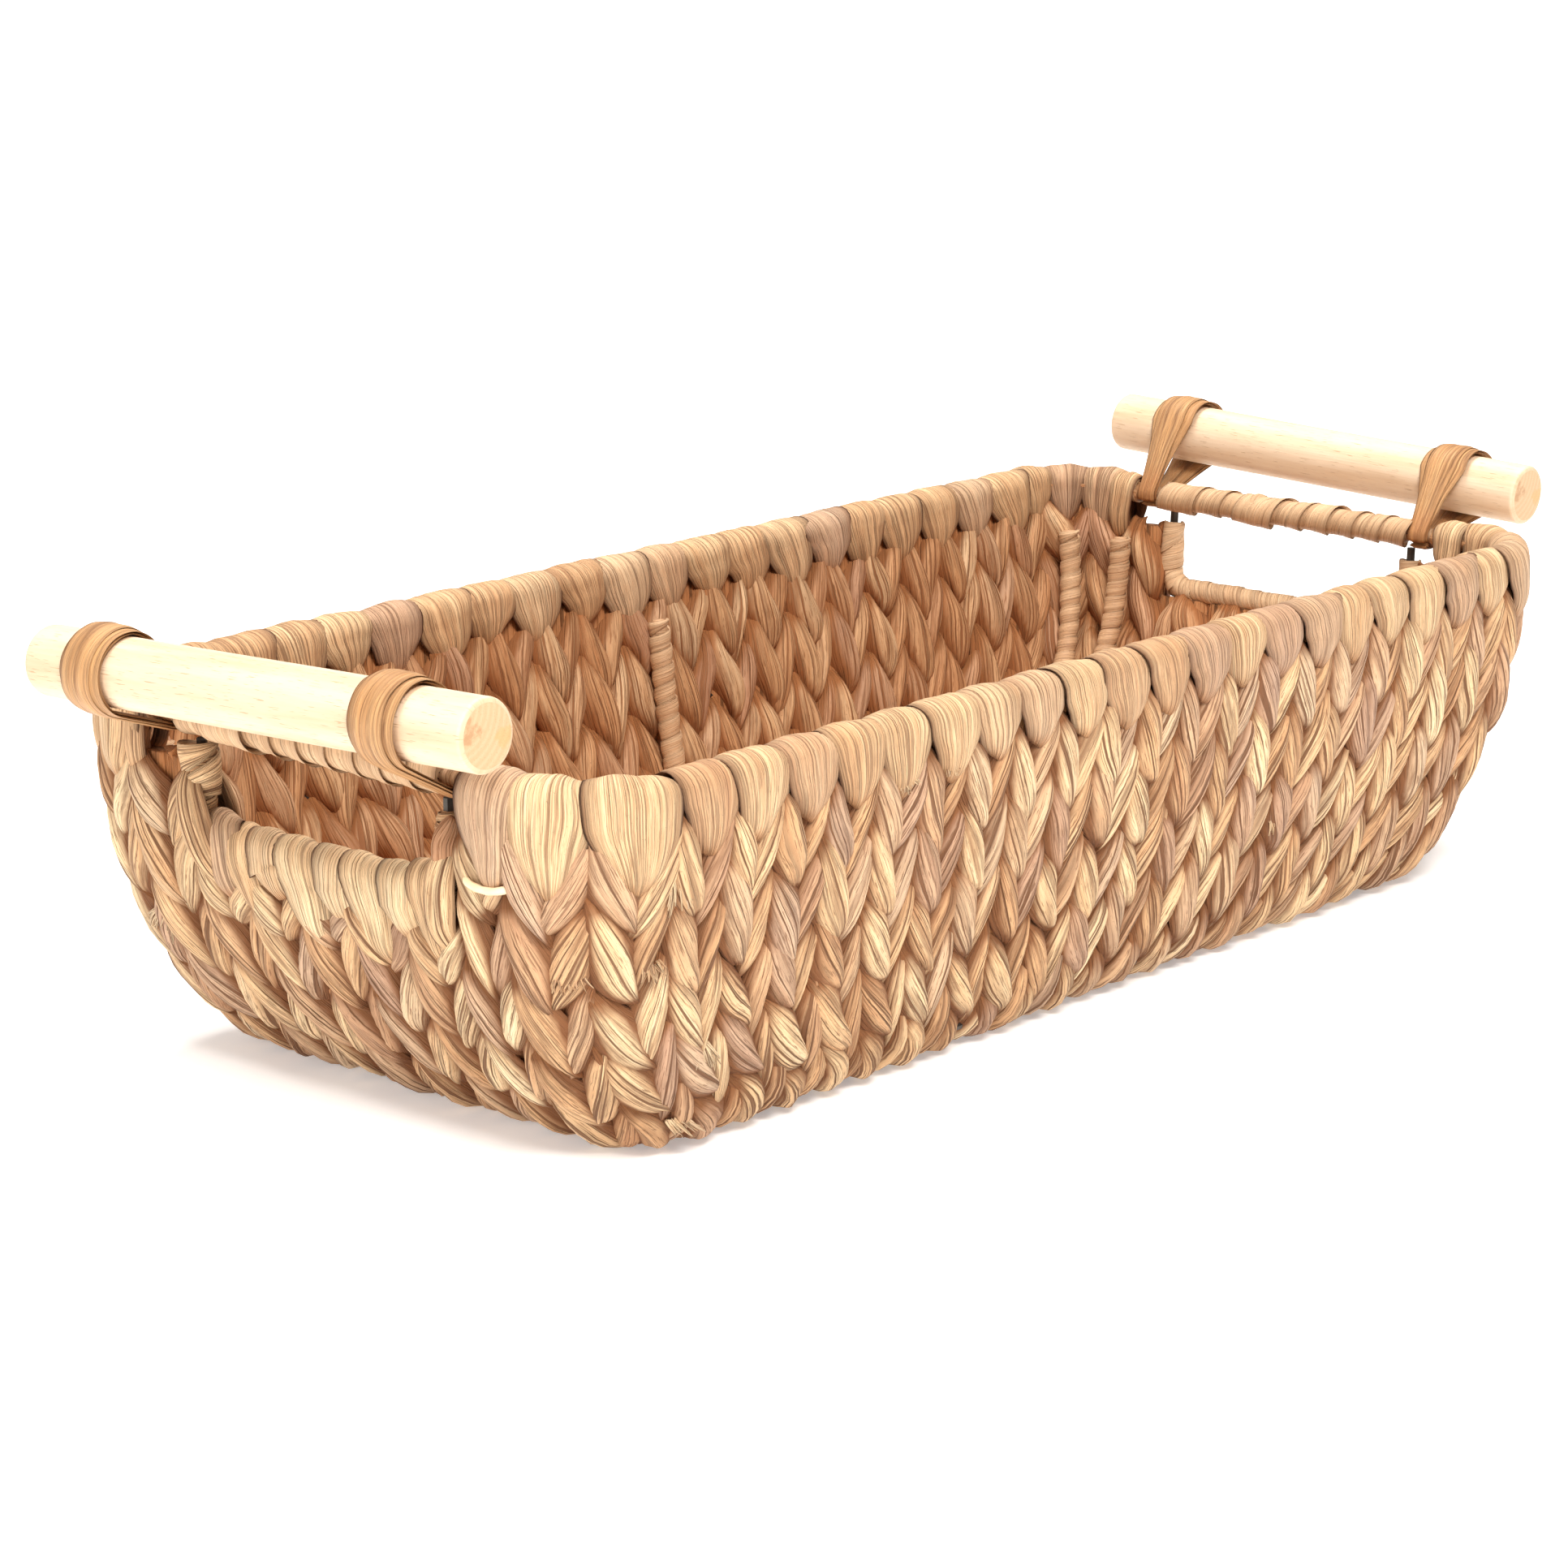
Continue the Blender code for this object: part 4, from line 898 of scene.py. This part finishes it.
def wood_material():
    m = bpy.data.materials.new("pale_wood")
    m.use_nodes = True
    nt = m.node_tree
    bsdf = nt.nodes["Principled BSDF"]
    uv = node(nt, "ShaderNodeUVMap", uv_map="fibre").outputs[0]
    at = node(nt, "ShaderNodeAttribute", attribute_name="Tone")
    sep = node(nt, "ShaderNodeSeparateColor")
    nt.links.new(at.outputs["Color"], sep.inputs[0])
    face = sep.outputs[0]
    # side: long soft figure, fine grain, short dark pores along the axis
    figure = stretched_noise(nt, uv, 0.16, 0.012, 4, 0.55, 3)
    grain = stretched_noise(nt, uv, 1.6, 0.03, 3, 0.6, 13)
    col = ramp(nt, [(0.28, (0.68, 0.465, 0.30)), (0.45, (0.77, 0.57, 0.395)), (0.62, (0.83, 0.645, 0.47))], figure)
    col = mix(nt, math_node(nt, "MULTIPLY", grain, 0.30), col, (0.74, 0.52, 0.29))
    pores = stretched_noise(nt, uv, 3.2, 0.17, 1, 0.4, 61)
    pm = ramp(nt, [(0.0, (1, 1, 1)), (0.23, (1, 1, 1)), (0.30, (0, 0, 0))], pores)
    col = mix(nt, math_node(nt, "MULTIPLY", pm, 0.6), col, (0.42, 0.23, 0.10))
    # end: faint rings with a browner patch
    rings = node(nt, "ShaderNodeTexWave", wave_type="RINGS", rings_direction="Z")
    mp = node(nt, "ShaderNodeMapping")
    mp.inputs["Location"].default_value = (7.0, -11.0, 0)
    nt.links.new(uv, mp.inputs["Vector"])
    nt.links.new(mp.outputs[0], rings.inputs["Vector"])
    rings.inputs["Scale"].default_value = 0.16
    rings.inputs["Distortion"].default_value = 1.1
    rings.inputs["Detail"].default_value = 3
    rings.inputs["Detail Scale"].default_value = 0.6
    ends = ramp(nt, [(0.0, (0.60, 0.385, 0.215)), (0.6, (0.63, 0.41, 0.235)), (1.0, (0.66, 0.435, 0.255))], rings.outputs[0])
    blotch = stretched_noise(nt, uv, 0.30, 0.30, 3, 0.6, 8)
    for cx, cy, colour, amount in ((-2.8, 4.6, (0.42, 0.21, 0.09), 0.65), (8.8, 2.4, (0.68, 0.35, 0.13), 0.55)):
        away = node(nt, "ShaderNodeVectorMath", operation="DISTANCE")
        nt.links.new(uv, away.inputs[0])
        away.inputs[1].default_value = (cx, cy, 0)
        near = math_node(nt, "MULTIPLY_ADD", blotch, 9.0, away.outputs["Value"])
        ends = mix(nt, math_node(nt, "MULTIPLY", ramp(nt, [(0.0, (1, 1, 1)), (0.62, (1, 1, 1)), (0.80, (0, 0, 0))], math_node(nt, "MULTIPLY", near, 0.1)), amount),
                   ends, colour)
    dots = stretched_noise(nt, uv, 2.4, 2.4, 1, 0.5, 18)
    ends = mix(nt, ramp(nt, [(0.27, (0.5, 0.5, 0.5)), (0.33, (0, 0, 0))], dots), ends, (0.45, 0.26, 0.12))
    col = mix(nt, face, col, ends)
    nt.links.new(col, bsdf.inputs["Base Color"])
    h = math_node(nt, "SUBTRACT", math_node(nt, "MULTIPLY", grain, 0.4), math_node(nt, "MULTIPLY", pm, 0.6))
    bp = node(nt, "ShaderNodeBump")
    bp.inputs["Strength"].default_value = 0.55
    bp.inputs["Distance"].default_value = 0.0003
    nt.links.new(h, bp.inputs["Height"])
    nt.links.new(bp.outputs[0], bsdf.inputs["Normal"])
    nt.links.new(math_node(nt, "MULTIPLY_ADD", grain, 0.18, 0.42), bsdf.inputs["Roughness"])
    bsdf.inputs["Specular IOR Level"].default_value = 0.35
    return m


MAT_WOOD = wood_material()


def make_dowel(name, centre, tilt, seed):
    """A turned bar, very slightly out of true, with sanded edges and flat ends."""
    rng = np.random.default_rng(seed)
    half, R = 81.0, 9.68
    ys, rs, face, rad_uv = [], [], [], []
    for r in np.linspace(0.4, R - 1.5, 7):
        ys.append(-half), rs.append(r), face.append(1.0)
    for a in np.linspace(0.08, math.pi / 2, 6):
        ys.append(-half + 1.5 * (1 - math.cos(a))), rs.append(R - 1.5 + 1.5 * math.sin(a)), face.append(0.5 if a < 0.7 else 0.0)
    for y in np.linspace(-half + 3, half - 3, 60):
        ys.append(y), rs.append(R + 0.05 * math.sin(y / 17 + seed)), face.append(0.0)
    for a in np.linspace(math.pi / 2, 0.08, 6):
        ys.append(half - 1.5 * (1 - math.cos(a))), rs.append(R - 1.5 + 1.5 * math.sin(a)), face.append(0.5 if a < 0.7 else 0.0)
    for r in np.linspace(R - 1.5, 0.4, 7):
        ys.append(half), rs.append(r), face.append(1.0)
    ys, rs, face = np.array(ys), np.array(rs), np.array(face)
    th = np.linspace(0, 2 * math.pi, 96, endpoint=False)
    direction = np.array([0, math.cos(tilt), math.sin(tilt)])
    e1 = np.array([1.0, 0, 0])
    e2 = np.cross(direction, e1)
    wob = 1 + 0.0025 * np.sin(2 * th + seed)
    rr = rs[:, None] * wob[None, :]
    pts = np.array(centre)[None, None, :] + direction * ys[:, None, None] + rr[..., None] * (
        e1 * np.cos(-th)[None, :, None] + e2 * np.sin(-th)[None, :, None])
    side_uv = np.stack([th[None, :] * R + 0 * ys[:, None], ys[:, None] + 0 * th[None, :]], -1)
    end_uv = np.stack([rr * np.cos(th), rr * np.sin(th)], -1) + 3.0
    uv = np.where(face[:, None, None] > 0.75, end_uv, side_uv) + seed * 7.3 * (face[:, None, None] < 0.75)
    tone = np.zeros(pts.shape[:2] + (4,))
    tone[..., 0] = face[:, None]
    pc = Piece(name)
    pc.sweep(pts, uv, tone)
    return pc


def belt(end, row, grow=0.0):
    """Once round the strap, from under the rim wire up over the bar and back: points (mm), outward normals, width share."""
    sx = -1 if end == "left" else 1
    centre, tilt = DOWEL[end]
    direction = np.array([0, math.cos(tilt), math.sin(tilt)])
    y = STRAP_Y[end][row]
    centre = np.array(centre)
    a = centre + direction * ((y - centre[1]) / direction[1])
    b = np.array([sx * RIM_X, y, 104.0])
    ra, rb = 9.7 + 0.45 + 0.75 + grow, 2.0 + 0.45 + 0.75 + grow
    along = unit(a - b)
    across = unit(np.cross(along, [0, 1, 0]))
    lean = math.asin((ra - rb) / np.linalg.norm(a - b))
    start, stop = -math.pi / 2 - lean, math.pi / 2 + lean
    pts, nrm, share = [], [], []

    def put(c, r, t, w):
        v = math.cos(t) * along + math.sin(t) * across
        pts.append(c + r * v), nrm.append(v), share.append(w)

    for t in np.linspace(-math.pi + 0.25, start, 5):
        put(b, rb, t, 0.0)
    p0, p1 = pts[-1].copy(), a + ra * (math.cos(start) * along + math.sin(start) * across)
    for q in np.linspace(0, 1, 9)[1:-1]:
        pts.append(p0 * (1 - q) + p1 * q), nrm.append(nrm[-1]), share.append(q)
    for t in np.linspace(start, stop, 34):
        put(a, ra, t, 1.0)
    p0, p1 = pts[-1].copy(), b + rb * (math.cos(stop) * along + math.sin(stop) * across)
    last = nrm[-1]
    for q in np.linspace(0, 1, 9)[1:-1]:
        pts.append(p0 * (1 - q) + p1 * q), nrm.append(last), share.append(1 - q)
    for t in np.linspace(stop, math.pi - 0.25 + 0.0, 5):
        put(b, rb, t, 0.0)
    return np.array(pts), np.array(nrm), np.array(share)


for k, (end, sx) in enumerate((("left", -1), ("right", 1))):
    centre, tilt = DOWEL[end]
    pc = make_dowel(end + "_bar", centre, tilt, 3 + k)
    pc.build(MAT_WOOD, end + "_grip", [end + "_dowel"], "dowel_wood")
    for j, row in enumerate(("front", "back")):
        rng = rng_of(60 + 2 * k + j)
        pc = Piece(f"{end}_{row}_strap_leaves")
        for layer, (grow, shift, width) in enumerate(((-0.25, 0.6, 1.0), (0.45, -0.5, 0.93), (1.0, 0.9, 0.70))):
            pts, nrm, share = belt(end, row, grow)
            half = (3.4 + (8.0 * width - 3.4) * share**1.5)
            side = np.array([0, 1.0, 0])
            pts = pts + side * (shift * (0.3 + 0.7 * share))[:, None]
            # painted shade: each strap leaf darkens where it wraps round under the rim wire
            leaf(pc, pts, nrm, half, 0.55, rng, rng.uniform(0.40, 0.62), arch=0.10, edge=0.2, grooves=7, groove_d=0.12, ridge=0.08,
                 crumple=0.05, share=0.7, tucked_shade=np.clip(0.8 - share * 2.2, 0, 0.6))
        pc.build(MAT_STRAP, end + "_handle", [f"{end}_{row}_strap"], "strap_leaf")

# ------------------------------------------------------------------ torn ends of leaf that stick out of the weave
def fray(piece, seg, f, z, width, length, rng, turn=0.0, tone=0.85, count=16):
    for _ in range(count):
        off = rng.uniform(-1, 1)
        n = 7
        q = np.linspace(0, 1, n)
        reach = length * rng.uniform(0.5, 1.1)
        heading = turn + 0.45 * off + rng.uniform(-0.25, 0.25)
        lat = width * off * 0.5 + reach * q * math.sin(heading)
        zz = z + rng.uniform(-0.6, 0.6) - reach * q * math.cos(heading)
        depth = 1.2 - (1.2 + rng.uniform(0.6, 1.9)) * q**0.8 + 0.6 * q**2
        p, _, tau = wall(seg, f, zz, depth, lat)
        d = unit(np.gradient(p, axis=0))
        normal = unit(np.cross(tau, d))
        leaf(piece, p, normal, (0.25 + 0.75 * (1 - q)) * rng.uniform(0.35, 0.8), 0.25, rng, tone + rng.uniform(-0.10, 0.25), arch=0.05,
             edge=0.08, grooves=0, groove_d=0, ridge=0.03, crumple=0.05, pink=np.full(n, rng.uniform(0, 0.4)), edge_shade=0.25)


FRAYS = [(5, 0.96, 45.0, 11, 7.0, -0.5, 0.95), (7, 0.365, 58.5, 9, 4.5, 0.3, 0.40), (7, 0.855, 61.0, 6, 4.5, 0.2, 0.50),
         (7, 0.995, 83.0, 3.6, 9.0, 0.1, 1.0), (7, 0.755, 11.0, 7, 4.5, 0.4, 0.70), (0, 0.226, 92.0, 5, 3.5, 0.2, 0.75),
         (0, 0.275, 92.5, 6, 3.5, 0.1, 0.75), (0, 0.022, 32.5, 6, 6.0, -0.3, 0.95), (6, 0.616, 61.5, 6, 3.0, -0.2, 0.60),
         (6, 0.308, 59.5, 6, 3.0, -0.2, 0.65), (4, 0.34, 52.0, 7, 5.0, 0.2, 0.60), (3, 0.55, 36.0, 6, 5.0, 0.1, 0.80),
         (2, 0.62, 31.0, 7, 4.5, -0.2, 0.70), (0, 0.71, 43.0, 6, 4.5, 0.2, 0.65)]
for k, (seg, f, z, width, length, turn, tone) in enumerate(FRAYS):
    pc = Piece(f"torn_end_{k + 1}")
    fray(pc, seg, f, z, width, length, rng_of(200 + k), turn, tone)
    pc.build(MAT_WALL, "basket", (), "wall_hyacinth")

# ------------------------------------------------------------------ cane tie
def plain(name, colour, rough, metallic=0.0, noise=0.0, colour2=None, scale=60.0, bump=0.2, spec=0.5):
    m = bpy.data.materials.new(name)
    m.use_nodes = True
    nt = m.node_tree
    bsdf = nt.nodes["Principled BSDF"]
    tc = node(nt, "ShaderNodeTexCoord")
    nz = node(nt, "ShaderNodeTexNoise")
    nz.inputs["Scale"].default_value = scale
    nz.inputs["Detail"].default_value = 6
    nt.links.new(tc.outputs["Object"], nz.inputs["Vector"])
    col = ramp(nt, [(0.3, colour), (0.7, colour2 or colour)], nz.outputs[0])
    nt.links.new(col, bsdf.inputs["Base Color"])
    nt.links.new(math_node(nt, "MULTIPLY_ADD", nz.outputs[0], 0.25, rough - 0.12), bsdf.inputs["Roughness"])
    bp = node(nt, "ShaderNodeBump")
    bp.inputs["Strength"].default_value = bump
    bp.inputs["Distance"].default_value = 0.0003
    nt.links.new(nz.outputs[0], bp.inputs["Height"])
    nt.links.new(bp.outputs[0], bsdf.inputs["Normal"])
    bsdf.inputs["Metallic"].default_value = metallic
    bsdf.inputs["Specular IOR Level"].default_value = spec
    return m


MAT_CANE = plain("pale_cane", (0.86, 0.66, 0.40), 0.42, colour2=(0.95, 0.80, 0.56), scale=220, bump=0.15)
MAT_STEEL = plain("blackened_wire", (0.045, 0.038, 0.032), 0.45, 0.85, colour2=(0.11, 0.095, 0.08), scale=160, bump=0.3)
f = np.linspace(0, 1, 20)
tie = end_wall(-1, -55.0 - 16.0 * f, 81.2 - 1.4 * np.sin(math.pi * f), -1.5 + 3.2 * np.abs(2 * f - 1) ** 6)
pc = Piece("cane_loop")
t, e1, e2 = frames(tie)
ang = np.linspace(0, 2 * math.pi, 14, endpoint=False)
rr = 1.05 * (1 + 0.05 * np.sin(f * 23))
rings = tie[:, None, :] + rr[:, None, None] * (e1[:, None, :] * np.cos(ang)[None, :, None] + e2[:, None, :] * np.sin(ang)[None, :, None])
uvs = np.stack([ang[None, :] + 0 * f[:, None], 15 * f[:, None] + 0 * ang[None, :]], -1)
pc.sweep(rings, uvs, np.full(rings.shape[:2] + (4,), 0.5))
pc.build(MAT_CANE, "basket", ["cane_tie"], "cane")

for nm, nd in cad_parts.items():
    ob = bpy.data.objects.get(nm) if not hasattr(nd, "data") else nd
    if ob is not None and ("wire" in nm or "rod" in nm or "opening_frame" in nm or nm.endswith("_upright")):
        for slot in ob.material_slots:
            slot.material = MAT_STEEL
        if not ob.material_slots:
            ob.data.materials.append(MAT_STEEL)

# ------------------------------------------------------------------ floor, light
bpy.ops.mesh.primitive_plane_add(size=30, location=(0, 0, 0))
floor = bpy.context.active_object
floor.name = "floor"
fm = bpy.data.materials.new("floor")
fm.use_nodes = True
fm.node_tree.nodes["Principled BSDF"].inputs["Base Color"].default_value = (0.93, 0.93, 0.93, 1)
fm.node_tree.nodes["Principled BSDF"].inputs["Roughness"].default_value = 0.9
fm.node_tree.nodes["Principled BSDF"].inputs["Emission Color"].default_value = (1, 1, 1, 1)
# painted light: the floor glows, weakest near the basket and stronger farther out, so the far floor stays white
fnt = fm.node_tree
ftc = node(fnt, "ShaderNodeTexCoord")
flen = node(fnt, "ShaderNodeVectorMath", operation="LENGTH")
fnt.links.new(ftc.outputs["Object"], flen.inputs[0])
fglow = node(fnt, "ShaderNodeMapRange")
fglow.inputs["From Min"].default_value = 0.35
fglow.inputs["From Max"].default_value = 1.3
fglow.inputs["To Min"].default_value = 0.30
fglow.inputs["To Max"].default_value = 0.66
fnt.links.new(flen.outputs["Value"], fglow.inputs["Value"])
fnt.links.new(fglow.outputs[0], fnt.nodes["Principled BSDF"].inputs["Emission Strength"])
floor.data.materials.append(fm)

world = bpy.data.worlds.new("world")
bpy.context.scene.world = world
world.use_nodes = True
world.node_tree.nodes["Background"].inputs[0].default_value = (1, 0.985, 0.965, 1)
world.node_tree.nodes["Background"].inputs[1].default_value = 0.42


def area(name, loc, target, size, power, colour=(1, 1, 1)):
    d = bpy.data.lights.new(name, "AREA")
    d.shape = "DISK"
    d.size = size
    d.energy = power
    d.color = colour
    o = bpy.data.objects.new(name, d)
    bpy.context.scene.collection.objects.link(o)
    o.location = loc
    o.rotation_euler = (Vector(target) - Vector(loc)).to_track_quat("-Z", "Y").to_euler()
    return o


area("key", (-0.9, -1.3, 1.7), (0, 0, 0.03), 0.7, 47, (1, 0.975, 0.94))
area("top", (0.25, 0.35, 1.9), (0, 0, 0.05), 0.9, 40, (1, 0.98, 0.95))
area("fill", (-1.7, -0.15, 0.55), (-0.1, 0, 0.05), 1.0, 7, (1, 0.98, 0.95))
bpy.context.scene.view_settings.view_transform = "Standard"
bpy.context.scene.view_settings.look = "None"
